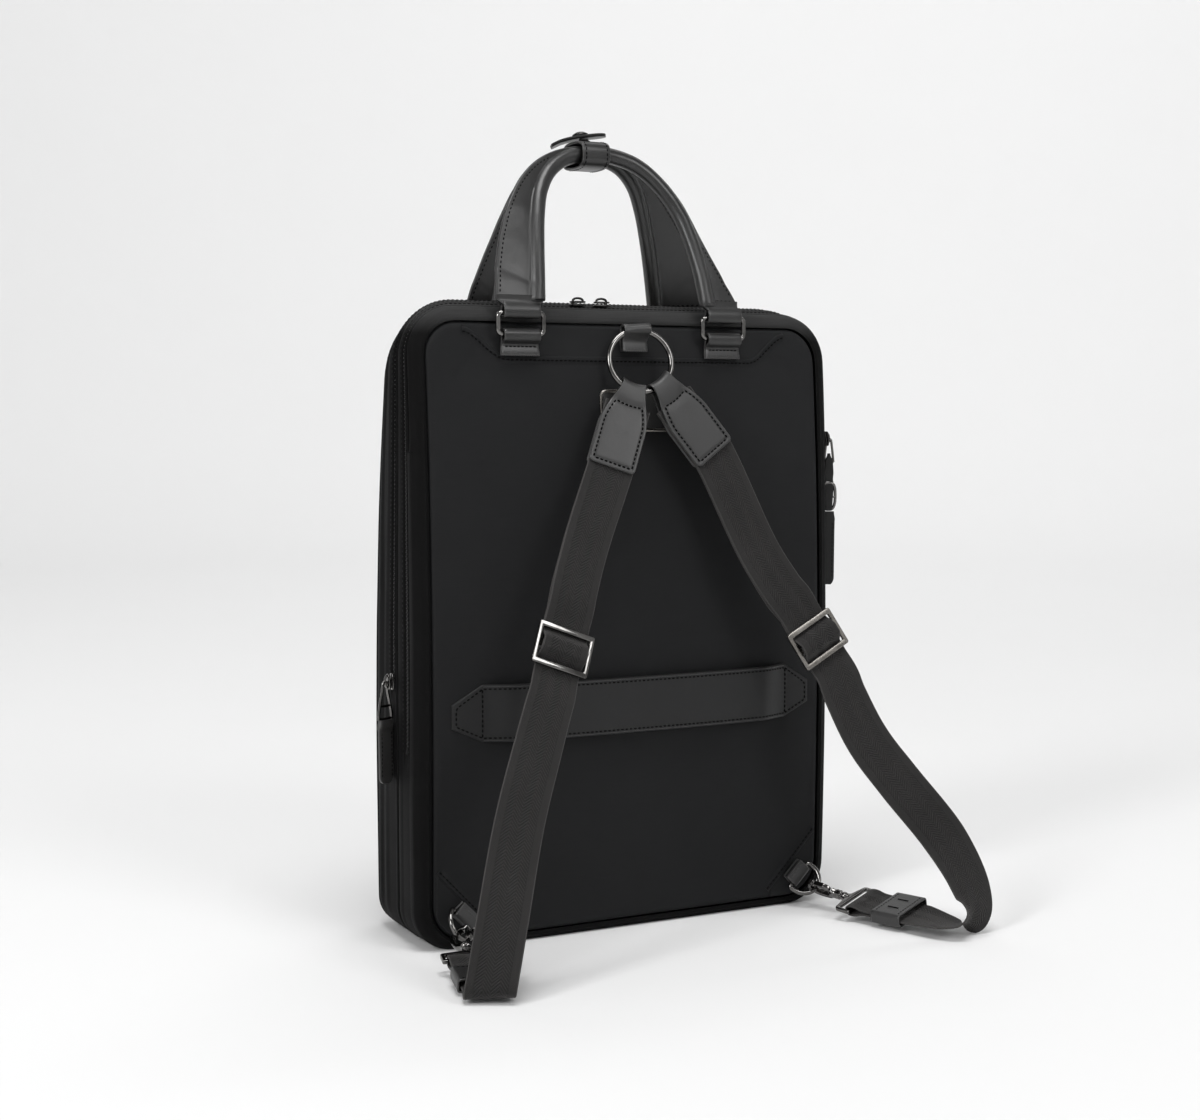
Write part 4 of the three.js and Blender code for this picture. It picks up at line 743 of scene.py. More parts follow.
def stage():
    k = Mat("studio_paper")
    f = k.noise(k.obj(), 2.0, 2.0)
    ln = k.node("ShaderNodeVectorMath", operation="LENGTH")
    k.link(k.obj(), ln.inputs[0])
    far = k.remap(ln.outputs["Value"], 0.9, 4.2, 0.0, 1.0)
    near_c = k.mix(f, rgb(FLOOR_TONE), rgb(FLOOR_TONE + 0.01))
    far_c = k.mix(f, rgb(WALL_TONE), rgb(WALL_TONE + 0.01))
    k.set(color=k.mix(far, near_c, far_c), rough=0.9, spec=0.05)
    # a round pale floor that sweeps up into a wall far behind on every side
    prof = [(0.0, 0.0), (0.6, 0.0), (1.4, 0.0), (2.4, 0.0), (3.2, 0.0)]
    for i in range(1, 15):
        a = math.pi / 2 * i / 14
        prof.append((3.2 + 2.2 * math.sin(a), 2.2 - 2.2 * math.cos(a)))
    prof += [(5.4, 3.4), (5.4, 5.0)]
    s = Soup()
    ang = np.linspace(0, 2 * math.pi, 96, endpoint=False)
    rows = [[(max(r, 0.0005) * 1000 * math.cos(a), max(r, 0.0005) * 1000 * math.sin(a), z * 1000) for a in ang] for r, z in prof]
    s.grid(np.array(rows), wrap_u=True)
    v = np.concatenate(s.v) * MM
    q = np.concatenate(s.q)
    me = bpy.data.meshes.new("floor")
    me.from_pydata(v.tolist(), [], q.tolist())
    me.polygons.foreach_set("use_smooth", np.ones(len(me.polygons), dtype=bool))
    me.materials.append(k.m)
    o = bpy.data.objects.new("floor", me)
    bpy.context.scene.collection.objects.link(o)
    w = bpy.data.worlds.new("studio")
    w.use_nodes = True
    bg = w.node_tree.nodes["Background"]
    bg.inputs[0].default_value = (1.0, 1.0, 1.0, 1)
    bg.inputs[1].default_value = WORLD
    bpy.context.scene.world = w

    def area(name, at, target, size, power, size_y=None, color=(1, 1, 1)):
        d = bpy.data.lights.new(name, "AREA")
        d.shape = "RECTANGLE"
        d.size, d.size_y = size, size_y or size
        d.energy = power
        d.color = color
        ob = bpy.data.objects.new(name, d)
        bpy.context.scene.collection.objects.link(ob)
        ob.location = at
        ob.rotation_mode = "QUATERNION"
        ob.rotation_quaternion = (Vector(at) - Vector(target)).to_track_quat("Z", "Y")
        return ob
    area("top_soft", (-0.4, -0.9, 3.4), (0, 0, 0.3), 1.8, 66, 1.3)
    area("left_key", (-2.9, -1.1, 1.9), (0, 0, 0.25), 0.7, 46, 1.3)
    area("front_high", (1.0, -3.1, 2.35), (0, 0, 0.3), 1.3, 32, 1.2)
    area("back_wash", (1.6, 1.6, 3.8), (2.2, 4.6, 0.8), 2.4, 60, 1.2)


stage()
bpy.context.scene.view_settings.view_transform = "Standard"
bpy.context.scene.view_settings.look = "None"
bpy.context.scene.view_settings.exposure = 0.0
bpy.context.scene.view_settings.gamma = 1.0

# ------------------------------------------------------------------ body
def arch(d, a, b, power=0.8):
    t = np.clip((d - a) / (b - a), 0, 1)
    return np.sin(math.pi * t) ** power


_waves = soft_field(11, 7, 60, 210)
_pleat = soft_field(12, 5, 90, 240)
ZIPS = {"rear": (-34.0, 313.0, 1.9, 0.8), "main": (-21.5, 120.0, 1.5, 2.3), "front": (0.5, 160.0, 1.5, 2.3)}


def wall_relief(d, x, z, nx, nz):
    """How far the side wall stands in or out of its plain form: seams, padded bands, soft folds."""
    side = ease((np.abs(nx) - 0.35) / 0.4)
    up = ease((z - 311.6) / 2.8)
    up_main, up_front = ease((z - 119) / 5), ease((z - 159) / 5)
    floor = ease((z - 4) / 26)
    o = up * (1.15 * arch(d, -43.4, -34.6) + 0.75 * arch(d, -33.3, -30.3)) + (1 - up) * 1.0 * arch(d, -43.4, -30.3)
    o = o - up * 2.1 * bump1(d, -34.0, 0.72)
    o = o - 1.9 * bump1(d, -29.7, 0.62)
    o = o - side * 0.75 * bump1(z, 313.2, 0.8) * arch(d, -43.5, -30.2, 0.3)
    # main gusset, with the lips of its zip
    o = o + up_main * (0.55 * bump1(d, -25.6, 1.2) + 0.55 * bump1(d, -17.4, 1.2) - 1.25 * ease((3.2 - np.abs(d + 21.5)) / 0.8))
    o = o + (1 - up_main) * 0.5 * arch(d, -29, -8)
    o = o - 1.5 * bump1(d, -6.9, 0.65) + 0.5 * arch(d, -16, -7.6) + 0.4 * arch(d, -6, -2.6)
    # front gusset
    o = o + up_front * (0.5 * bump1(d, -3.6, 1.1) + 0.5 * bump1(d, 4.6, 1.2) - 1.25 * ease((3.2 - np.abs(d - 0.5)) / 0.8))
    o = o - 1.2 * bump1(d, 33.2, 0.6)
    o = o + side * floor * (1.0 * bump1(d, 13 + 1.6 * np.sin(z / 61.0), 3.4) - 0.8 * bump1(d, 20.5 + 2.2 * np.sin(z / 47.0 + 1), 3.0)
                            + 0.7 * bump1(d, 27 + 1.4 * np.sin(z / 70.0 + 2), 3.2)) * (0.75 + 0.35 * _pleat(z, 0 * z))
    o = o + floor * side * 0.38 * _waves(z, d * 2.0 + np.sign(x) * 40)
    o = o + (1 - side) * (nz > 0.2) * 0.22 * _waves(x, d * 2.0)
    return o


def wall_point(depth, j=None, off=None, inset=0.0, **kw):
    pts, nrm = outline(depth, -inset, **kw)
    o = wall_relief(depth, pts[:, 0], pts[:, 1], nrm[:, 0], nrm[:, 1]) if inset == 0 else 0 * pts[:, 0]
    if off is not None:
        o = o + off
    x = pts[:, 0] + nrm[:, 0] * o
    z = pts[:, 1] + nrm[:, 1] * o
    z = np.maximum(z, 0.02)
    return np.stack([x, real_y(depth, z), z], -1), nrm


def build_walls():
    depths = np.concatenate([
        np.linspace(-44, -35.6, 18), np.arange(-35.2, -32.7, 0.3), np.arange(-32.4, -30.9, 0.5), np.arange(-30.7, -28.6, 0.25),
        np.arange(-28.2, -17, 0.55), np.arange(-16.4, -8.2, 1.0), np.arange(-8.0, -5.6, 0.3), np.arange(-5.2, 5.2, 0.55),
        np.arange(6, 32, 1.1), np.arange(32, 34.6, 0.3), np.linspace(35, 44, 18)])
    rows = [wall_point(d)[0] for d in depths]
    inner = [wall_point(d, inset=CLOTH)[0] for d in (43.4, 30, 6, -14, -30, -43.4)]
    rows += inner
    v = list(depths * 1.0) + [46, 60, 84, 104, 120, 134, 138]
    s = Soup()
    P = np.array(rows)
    seg = np.linalg.norm(np.diff(P[40], axis=0, append=P[40][:1]), axis=1)
    s.grid(P, wrap_u=True, wrap_v=True, uv=(np.concatenate([[0], np.cumsum(seg)]), np.array(v)))
    s.make("body_walls", NYLON_SIDE_SHADED_LIT_TOP, replaces=("rear_gusset", "main_gusset", "front_gusset"), slot="nylon", smooth=50)


_dent = soft_field(21, 8, 110, 330)
_dent2 = soft_field(22, 6, 45, 120)
_fdent = soft_field(23, 8, 100, 300)


def panel_dent(x, z):
    # quiet in the middle, where the padding is tight; livelier near the edges
    r = reach(x, z, SEAM_HALF, SEAM_TOP, SEAM_BOTTOM)
    edge = ease((r - 0.55) / 0.3) * ease((0.99 - r) / 0.03)
    d = 0.55 * _dent(x, z) + 0.10 * _dent2(x, z)
    d = d + edge * (0.35 * _dent2(z * 1.3, x * 0.7))
    # the corners pull in a little toward their seams
    for sx in (-1, 1):
        d = d - 0.9 * np.exp(-(((x - sx * 118) / 26) ** 2 + ((z - 372) / 24) ** 2))
    return d * ease((1 - r) / 0.05)


def skin_y(x, z):
    """The finished back panel's surface."""
    return back_y(x, z) - panel_dent(x, z)


def panel(name, depth, half, top, bottom, surface, thick, sign, mat, node, roll=3.2, width=6.0):
    pts, nrm = outline(depth, -(CLOTH + GAP) + 0.25)
    ks = np.concatenate([[0.0006, 0.02], np.linspace(0.06, 0.86, 34), np.linspace(0.875, 0.95, 9), np.linspace(0.956, 1.0, 16)])
    rows = []
    for k in ks:
        x, z = pts[:, 0] * k, PANEL_MID + (pts[:, 1] - PANEL_MID) * k
        e = np.linalg.norm(np.stack([pts[:, 0] - x, pts[:, 1] - z], -1), axis=1)
        c = np.clip(1 - e / width, 0, 1)
        drop = roll * (1 - np.sqrt(np.maximum(0, 1 - c ** 2.4)))
        rows.append(np.stack([x, surface(x, z) - sign * drop, z], -1))
    x, z = pts[:, 0], pts[:, 1]
    y = rows[-1][:, 1]
    rows.append(np.stack([x * 0.999, y - sign * 2.0, z], -1))
    for k in (0.98, 0.9, 0.6, 0.3, 0.0006):
        px, pz = x * k, PANEL_MID + (z - PANEL_MID) * k
        rows.append(np.stack([px, surface(px, pz) - sign * (thick + 1.5), pz], -1))
    P = np.array(rows)
    s = Soup()
    U = np.concatenate([P[:, :, 0], P[:, :1, 0]], 1)
    W = np.concatenate([P[:, :, 2], P[:, :1, 2]], 1)
    s.grid(P, wrap_u=True, uv=(U, W))
    return s.make(name, mat, replaces=node, slot="padded_nylon", smooth=60)


def strip_on(name, path, away, width, thick, mat, surface=None, lift=0.0, body=BAG, sink=0.7, taper=True):
    """A turned cloth edge on the back panel: round at its line, fading out away from it."""
    surface = surface or skin_y
    P = np.asarray(path, float)
    A = np.broadcast_to(np.asarray(away, float), P.shape)
    sec = [(-0.15, -sink), (-0.18, 0.15 * thick), (-0.05, 0.55 * thick), (0.22, 0.86 * thick), (0.6, thick), (1.4, 0.98 * thick)]
    if taper:
        sec += [(width * 0.45, 0.72 * thick), (width * 0.75, 0.3 * thick), (width, 0.02), (width, -sink)]
    else:
        sec += [(width - 0.8, 0.98 * thick), (width - 0.3, 0.8 * thick), (width, 0.3 * thick), (width, -sink)]
    rows = []
    for p, a in zip(P, A):
        row = []
        for e, h in sec:
            x, z = p[0] + a[0] * e, p[1] + a[1] * e
            row.append((x, float(surface(x, z)) - h - lift, z))
        rows.append(row)
    s = Soup()
    G = np.array(rows)
    s.grid(G, wrap_u=True)
    s.fan(G[0]).fan(G[-1])
    return s.make(name, mat, body=body, slot="padded_nylon", smooth=50)


def sheet_on(soup, xs, low, high, rise, thick, surface, edge=0.9, sink=0.4, nz=14, ends=True, mat=0):
    """A thin piece that follows the back panel, with rounded edges all round."""
    xs = np.asarray(xs, float)
    f = np.concatenate([[0, 0.004, 0.012, 0.024, 0.04], np.linspace(0.07, 0.93, nz), [0.96, 0.976, 0.988, 0.996, 1]])
    rows = []
    x0, x1 = xs[0], xs[-1]
    for x in xs:
        lo, hi = low(x), high(x)
        z = lo + (hi - lo) * f
        e = np.minimum(z - lo, hi - z)
        if ends:
            e = np.minimum(e, np.minimum(abs(x - x0), abs(x1 - x)))
        c = np.clip(1 - e / edge, 0, 1)
        t = thick * (0.12 + 0.88 * np.sqrt(np.maximum(0, 1 - c * c)))
        y = surface(x, z) - rise(x)
        front = np.stack([np.full_like(z, x), y - t, z], -1)
        backs = np.stack([np.full_like(z, x), y + sink, z], -1)[::-1]
        rows.append(np.concatenate([front, backs[::2]]))
    G = np.array(rows)
    n = G.shape[1]
    U = np.concatenate([G[:, :, 2], G[:, :1, 2]], 1)
    W = np.concatenate([G[:, :, 0], G[:, :1, 0]], 1)
    soup.grid(G, wrap_u=True, uv=(W, U), mat=mat)
    for row in (G[0], G[-1]):
        m = len(f)
        a, b = row[:m], row[m:][::-1]
        b = np.stack([np.interp(np.linspace(0, 1, m), np.linspace(0, 1, len(b)), b[:, k]) for k in range(3)], -1)
        soup.grid(np.stack([a, b]), mat=mat)
    return soup


def surface_normal(x, z, surface=None):
    surface = surface or skin_y
    h = 0.8
    nx = (surface(x + h, z) - surface(x - h, z)) / (2 * h)
    nz = (surface(x, z + h) - surface(x, z - h)) / (2 * h)
    return unit(np.stack([nx, -1 + 0 * nx, nz], -1))


def stitches_on_back(soup, xz, height, surface=None, **kw):
    """Stitches along a line given in x and z on the back panel."""
    surface = surface or skin_y
    xz = np.asarray(xz, float)
    d = np.concatenate([[0], np.cumsum(np.linalg.norm(np.diff(xz, axis=0), axis=1))])
    t = np.linspace(0, d[-1], max(2, int(d[-1] / 2.0)))
    x, z = np.interp(t, d, xz[:, 0]), np.interp(t, d, xz[:, 1])
    h = height(x, z) if callable(height) else height
    P = np.stack([x, surface(x, z) - h, z], -1)
    stitch_into(soup, P, surface_normal(x, z, surface), **kw)


def fine(*edges, step=1.6, end=0.35):
    """Even steps between marks, with close ones at both ends."""
    a, b = edges[0], edges[-1]
    s = np.sign(b - a)
    xs = [a, a + s * end * 0.5, a + s * end, a + s * end * 2]
    n = max(2, int(abs(b - a) / step))
    xs += list(np.linspace(a + s * end * 3, b - s * end * 3, n))
    xs += [b - s * end * 2, b - s * end, b - s * end * 0.5, b]
    for m in edges[1:-1]:
        xs.append(m)
    return sorted(set(xs), reverse=s < 0)


build_walls()
panel("back_panel_cloth", -44, SEAM_HALF, SEAM_TOP, SEAM_BOTTOM, skin_y, PANEL, -1, NYLON, "back_panel")


def front_skin(x, z):
    r = reach(x, z, FSEAM_HALF, FSEAM_TOP, FSEAM_BOTTOM)
    return front_y(x, z) + (0.8 * _fdent(x, z) + 0.25 * _dent2(z, x)) * ease((1 - r) / 0.06)


panel("front_panel_cloth", 44, FSEAM_HALF, FSEAM_TOP, FSEAM_BOTTOM, front_skin, FRONT, 1, NYLON, "front_panel")

# Yoke: the cloth above the turned edge, which sweeps up to the seam at both ends.
YK = dict(half=117.0, level=371.0, top=389.6, sweep=30.0)


def yoke_line(x):
    ax = np.abs(x)
    t = np.clip((ax - (YK["half"] - YK["sweep"])) / YK["sweep"], 0, 1)
    return YK["level"] + (YK["top"] - 1.2 - YK["level"]) * (t * t * (3 - 2 * t)) ** 1.1


_s = Soup()
sheet_on(_s, fine(-117, 117, step=2.0), lambda x: float(yoke_line(x)) - 1.0, lambda x: 389.9, lambda x: 0.0, 0.32, skin_y, edge=1.2, sink=0.5, nz=8)
_s.make("yoke_cloth", TRIM, replaces="yoke", slot="trim_leather")
_xs = np.linspace(-117.5, 117.5, 150)
_line = np.stack([_xs, yoke_line(_xs)], -1)
_tan = unit(np.gradient(_line, axis=0))
_down = np.stack([_tan[:, 1], -_tan[:, 0]], -1)
strip_on("yoke_hem", _line, _down, 5.2, 0.85, NYLON)
_s = Soup()
stitches_on_back(_s, _line + _down * 2.7, 0.66, pitch=3.1, length=2.1, radius=0.44)
_s.make("yoke_stitches", THREAD, slot="padded_nylon")

# Corner patches: cloth below a turned diagonal edge, with a row of stitches.
CORNER_LINES = {}
for _tag, _sx in (("left", -1), ("right", 1)):
    _s = Soup()
    _rim = lambda x: 7.2 if abs(x) < 117 else 7.2 + 24 - math.sqrt(max(0.0, 576 - (abs(x) - 117) ** 2))
    _edge = lambda x: 51 - 39.5 * (141 - abs(x)) / 37.0
    _cols = [_sx * a for a in fine(105.5, 139.6, step=1.6)]
    if _sx < 0:
        _cols = _cols[::-1]
    sheet_on(_s, _cols, lambda x: _rim(x), lambda x: max(_rim(x) + 0.9, _edge(x)), lambda x: 0.0, 0.42, skin_y, edge=1.0, sink=0.5, nz=8)
    _s.make("corner_cloth_" + _tag, TRIM, replaces="corner_" + _tag, slot="trim_leather")
    _x = np.linspace(103.8, 140.2, 34) * _sx
    _l = np.stack([_x, 51 - 39.5 * (141 - np.abs(_x)) / 37.0], -1)
    _n = unit(V(-_sx * 0.73, 0.684))
    strip_on("corner_hem_" + _tag, _l, _n, 5.0, 0.95, NYLON)
    _s = Soup()
    stitches_on_back(_s, _l + _n * 2.4, 0.76, pitch=3.1, length=2.1, radius=0.42)
    _s.make("corner_stitches_" + _tag, THREAD, slot="padded_nylon")
    CORNER_LINES[_tag] = (_l, _n)

# Luggage band.
BAND = dict(half=131.0, shoulder=111.0, low=131.5, high=167.5, lift=6.4, thick=1.9)


def band_low(x):
    return BAND["low"] + 9 * np.maximum(0, (np.abs(x) - BAND["shoulder"]) / 20.0)


def band_high(x):
    return BAND["high"] - 12 * np.maximum(0, (np.abs(x) - BAND["shoulder"]) / 20.0)


def band_rise(x):
    return -0.1 + (BAND["lift"] + 0.5) * ease((BAND["shoulder"] + 3 - np.abs(x)) / 26.0)


def band_y(x, z):
    # the leather bows across its width and carries a soft long wave
    mid = (band_low(x) + band_high(x)) / 2
    return back_y(x, mid + (z - mid) * 0.35) - 0.25 * np.sin(x / 37.0 + 0.6) * ease((115 - np.abs(x)) / 30.0) + 0.12 * ((z - mid) / 18.0) ** 2 * 2.0


_s = Soup()
sheet_on(_s, fine(-131, -111, 111, 131, step=2.0, end=0.3), lambda x: float(band_low(x)), lambda x: float(band_high(x)), lambda x: float(band_rise(x)), 1.9, band_y, edge=0.75, sink=0.0, nz=12)
_s.make("luggage_band_leather", BAND_HIDE, replaces="luggage_band", slot="trim_leather")
_s = Soup()
for _f, _sgn in ((band_high, -1), (band_low, 1)):
    _x = np.linspace(-111, 111, 120)
    stitches_on_back(_s, np.stack([_x, _f(_x) + _sgn * 2.7], -1), lambda x, z: band_rise(x) + 1.9, surface=band_y, pitch=3.1, length=2.1, radius=0.46)
for _sx in (-1, 1):
    # round the pointed end, 2.7 mm inside its edge
    _pts = [(_sx * 111, BAND["high"] - 2.7), (_sx * 128.2, 167.5 - 12 - 2.0), (_sx * 128.2, 131.5 + 9 + 1.6), (_sx * 111, BAND["low"] + 2.7)]
    stitches_on_back(_s, _pts, lambda x, z: band_rise(x) + 1.9, surface=band_y, pitch=3.1, length=2.1, radius=0.46)
    stitches_on_back(_s, [(_sx * 111.2, 131.5 + 2.7), (_sx * 111.2, 167.5 - 2.7)], lambda x, z: band_rise(x) + 1.9, surface=band_y, pitch=3.1, length=2.1, radius=0.46)
_s.make("luggage_band_stitches", THREAD, slot="trim_leather")
# a pressed crease line just inside the band's edges
_s = Soup()
for _f, _sgn in ((band_high, -1), (band_low, 1)):
    _x = np.linspace(-110.5, 110.5, 160)
    _z = _f(_x) + _sgn * 1.25
    _y = band_y(_x, _z) - band_rise(_x) - 1.9
    _s.grid(tube_rows(np.stack([_x, _y + 0.12, _z], -1), 0.22, 6), wrap_u=True)
_s.make("luggage_band_crease", EDGE, slot="trim_leather")

# Plain square of leather in a thin metal frame, below the centre ring.
_s = Soup()
sheet_on(_s, fine(-23.4, 23.4, step=1.8), lambda x: 325.6, lambda x: 348.4, lambda x: 0.0, 0.9, skin_y, edge=0.8, sink=0.5, nz=8)
_s.make("patch_leather", HIDE, replaces="patch", slot="trim_leather")
_c = []
for _cx, _cz, _a0 in ((20.7, 345.7, 0), (-20.7, 345.7, 90), (-20.7, 328.3, 180), (20.7, 328.3, 270)):
    for _i in range(9):
        _a = math.radians(_a0 + 90 * _i / 8)
        _c.append((_cx + 3.8 * math.cos(_a), _cz + 3.8 * math.sin(_a)))
_c = np.array(_c)
_loop = resample(np.stack([_c[:, 0], 0 * _c[:, 0], _c[:, 1]], -1), step=1.2, closed=True)
_loop[:, 1] = skin_y(_loop[:, 0], _loop[:, 2]) - 1.1
_s = Soup()
_t = unit(np.roll(_loop, -1, 0) - np.roll(_loop, 1, 0))
_w = np.cross(_t, V(0, -1, 0))
_secs = []
for _a, _b in ((-1.0, 0.6), (-0.95, -0.3), (-0.6, -0.62), (0, -0.72), (0.6, -0.62), (0.95, -0.3), (1.0, 0.6)):
    _secs.append(_loop + _w * _a + V(0, 1, 0) * _b)
_s.grid(np.stack(_secs, 1), wrap_u=True, wrap_v=True)
_s.make("patch_frame_metal", SATIN, replaces="patch_frame", slot="gunmetal")


# ------------------------------------------------------------------ zips
def wall_path(depth, end_z, off, step=0.9):
    """A line along the side wall: up one side, over the top and down the other."""
    P, nrm = wall_point(depth, off=off)
    top_first = np.argmin(np.abs(P[:, 2] - end_z) + (P[:, 0] < 0) * 1e4 + (P[:, 2] < 30) * 1e3)
    n = len(P)
    order = [(top_first + i) % n for i in range(n)]
    keep = [i for i in order if P[i, 2] >= end_z and P[i, 2] > 60]
    Q, N = P[keep], nrm[keep]
    N3 = np.stack([N[:, 0], 0 * N[:, 0], N[:, 1]], -1)
    d = np.concatenate([[0], np.cumsum(np.linalg.norm(np.diff(Q, axis=0), axis=1))])
    s = np.arange(0, d[-1], step)
    out = np.stack([np.interp(s, d, Q[:, k]) for k in range(3)], -1)
    nn = unit(np.stack([np.interp(s, d, N3[:, k]) for k in range(3)], -1))
    return out, nn


def zip_piece(name, node, depth, end_z, tape_w, sunk, coil_r, slot="zip"):
    path, nn = wall_path(depth, end_z + 1.5, sunk, 1.0)
    t = unit(np.gradient(path, axis=0))
    side = unit(np.cross(t, nn))
    s = Soup()
    # tape, two halves that meet under the coil
    for sg in (-1, 1):
        rows = []
        for a, h in ((0.15, 0.0), (0.3, 0.28), (tape_w / 2 - 0.2, 0.30), (tape_w / 2, 0.1), (tape_w / 2, -0.5), (0.15, -0.5)):
            rows.append(path + side * (sg * a) + nn * h)
        G = np.stack(rows, 1)
        s.grid(G, wrap_u=True, mat=0)
        s.fan(G[0]).fan(G[-1])
    # teeth: short bars that cross the middle in turn
    tp, tn = wall_path(depth, end_z + 2.0, sunk, 1.25)
    tt = unit(np.gradient(tp, axis=0))
    ts = unit(np.cross(tt, tn))
    a = np.linspace(0, 2 * math.pi, 6, endpoint=False)
    for k in range(len(tp)):
        sg = 1 if k % 2 else -1
        c0 = tp[k] - ts[k] * sg * 0.35 + tn[k] * 0.42
        c1 = tp[k] + ts[k] * sg * coil_r + tn[k] * 0.30
        rows = []
        for f, r in ((0, 0.25), (0.12, 0.52), (0.5, 0.56), (0.9, 0.50), (1.0, 0.2)):
            c = c0 + (c1 - c0) * f
            rows.append(c + r * (tn[k] * np.cos(a)[:, None] * 0.8 + tt[k] * np.sin(a)[:, None] * 0.95))
        s.grid(np.array(rows), wrap_u=True, mat=1)
    s.make(name, [TAPE, COIL], replaces=node, slot=slot, smooth=60, weld=0)


zip_piece("rear_zip_chain", "rear_zip", -34.0, 313.0, 2.2, 0.15, 0.85)
zip_piece("main_zip_chain", "main_zip", -21.5, 120.0, 6.4, 0.05, 1.7)
zip_piece("front_zip_chain", "front_zip", 0.5, 160.0, 6.4, 0.05, 1.7)

# rows of stitches beside the two broad zips and under the rear zip's end
_s = Soup()
for _depth, _end, _offs in ((-21.5, 120.0, (-4.6, 4.6)), (0.5, 160.0, (-4.6, 4.6))):
    for _o in _offs:
        _p, _n = wall_path(_depth + _o, _end + 1, 0.0, 1.5)
        stitch_into(_s, _p, _n, pitch=3.1, length=2.2, radius=0.30)
_s.make("zip_stitches", THREAD, slot="nylon")
for _sx in (-1, 1):
    _s = Soup()
    _d = np.linspace(-43.0, -30.6, 14)
    _pp = []
    for _k in _d:
        _P, _N = wall_point(_k)
        _i = np.argmin(np.abs(_P[:, 2] - 311.2) + (np.sign(_P[:, 0]) != _sx) * 1e4)
        _pp.append(_P[_i] * V(1, 1, 0) + V(0, 0, 311.2))
    stitch_into(_s, np.array(_pp), V(_sx, 0, 0), pitch=2.9, length=2.0, radius=0.28)
    _s.make("rear_zip_end_stitches_" + ("left" if _sx < 0 else "right"), THREAD, slot="nylon")


# Sliders: a base plate, a crown plate, a bridge and a short post between the plates.
def slider(name, node, at, along, outward, mat=None, scale=1.0):
    mat = mat or GUN
    x, y, z = axes(along, outward)
    m = place(at, x, y, z)
    k = scale
    flat = place(at, x, z, y)          # local Z is outward
    base = [(-5.2, -2.6), (-4.4, -3.4), (-1.0, -3.7), (3.6, -2.9), (5.4, -1.6), (5.4, 1.6), (3.6, 2.9), (-1.0, 3.7), (-4.4, 3.4), (-5.2, 2.6)]
    base = [(a * k, b * k) for a, b in base]
    parts = []
    for h, th, sc in ((0.4, 0.9, 1.0), (2.6, 1.1, 0.94)):
        mm = flat.copy()
        mm[:3, 3] = mm[:3, 3] + y * h * k
        parts.append(plate(name + "_p", round_corners([(a * sc, b * sc) for a, b in base], 1.0), th * k, mm, mat, bevel=0.32 * k, res=2))
    # bridge that the pull hangs on
    s = Soup()
    t = np.linspace(0, math.pi, 17)
    path = np.stack([-3.6 * k * np.cos(t), (2.9 + 2.1 * np.sin(t) ** 0.7) * k, 0 * t], -1)
    s.grid(move(tube_rows(path, 0.75 * k, 10, up=(0, 0, 1), flat=1.35), m), wrap_u=True)
    parts.append(s.make(name + "_b", mat))
    s = Soup()
    post = np.stack([np.linspace(2.2, 3.4, 5) * k, np.full(5, 0.0), np.zeros(5)], -1)
    post = np.stack([np.full(5, -3.2 * k), np.linspace(0.4, 2.6, 5) * k, np.zeros(5)], -1)
    s.grid(move(tube_rows(post, 1.1 * k, 10, up=(1, 0, 0)), m), wrap_u=True)
    parts.append(s.make(name + "_c", mat))
    return merge(name, parts, replaces=node)


def top_at(depth, x):
    st = station(depth)
    return V(x, float(real_y(depth, st[1])), st[1] + 0.6)


slider("top_slider_left_metal", "top_slider_left", top_at(-21.5, -29), V(1, 0, 0), V(0, 0, 1), DARKMETAL)
slider("top_slider_right_metal", "top_slider_right", top_at(-21.5, -12), V(-1, 0, 0), V(0, 0, 1), DARKMETAL)
LEFT_AT = V(-station(0.5)[0] - 2.3, float(real_y(0.5, 166)), 166)
RIGHT_AT = V(station(-34)[0] + 2.3, float(real_y(-34, 318)), 318)
slider("left_slider_metal", "left_slider", LEFT_AT + V(1.4, 0, 0), V(0, 0, 1), V(-1, 0, 0))
slider("right_slider_metal", "right_slider", RIGHT_AT + V(-1.4, 0, 0), V(0, 0, 1), V(1, 0, 0), DARKMETAL)


def pull_axes(out):
    wide = unit(V(out[0] * 0.92, -0.39, 0))
    down = V(0, 0, -1)
    return wide, down, np.cross(wide, down)


def bar(soup, pts, r, m, sides=10, closed=False, flat=1.0, mat=0):
    P = resample(catmull(np.array(pts, float), np.linspace(0, 1, 40)), n=34) if not closed else resample(np.array(pts, float), n=60, closed=True)
    G = tube_rows(P, r, sides, closed=closed, up=(0, 0, 1), flat=flat, keep_up=closed)
    soup.grid(move(G, m), wrap_u=True, wrap_v=closed, mat=mat)
    if not closed:
        soup.fan(move(G[0], m), mat=mat).fan(move(G[-1], m), mat=mat)


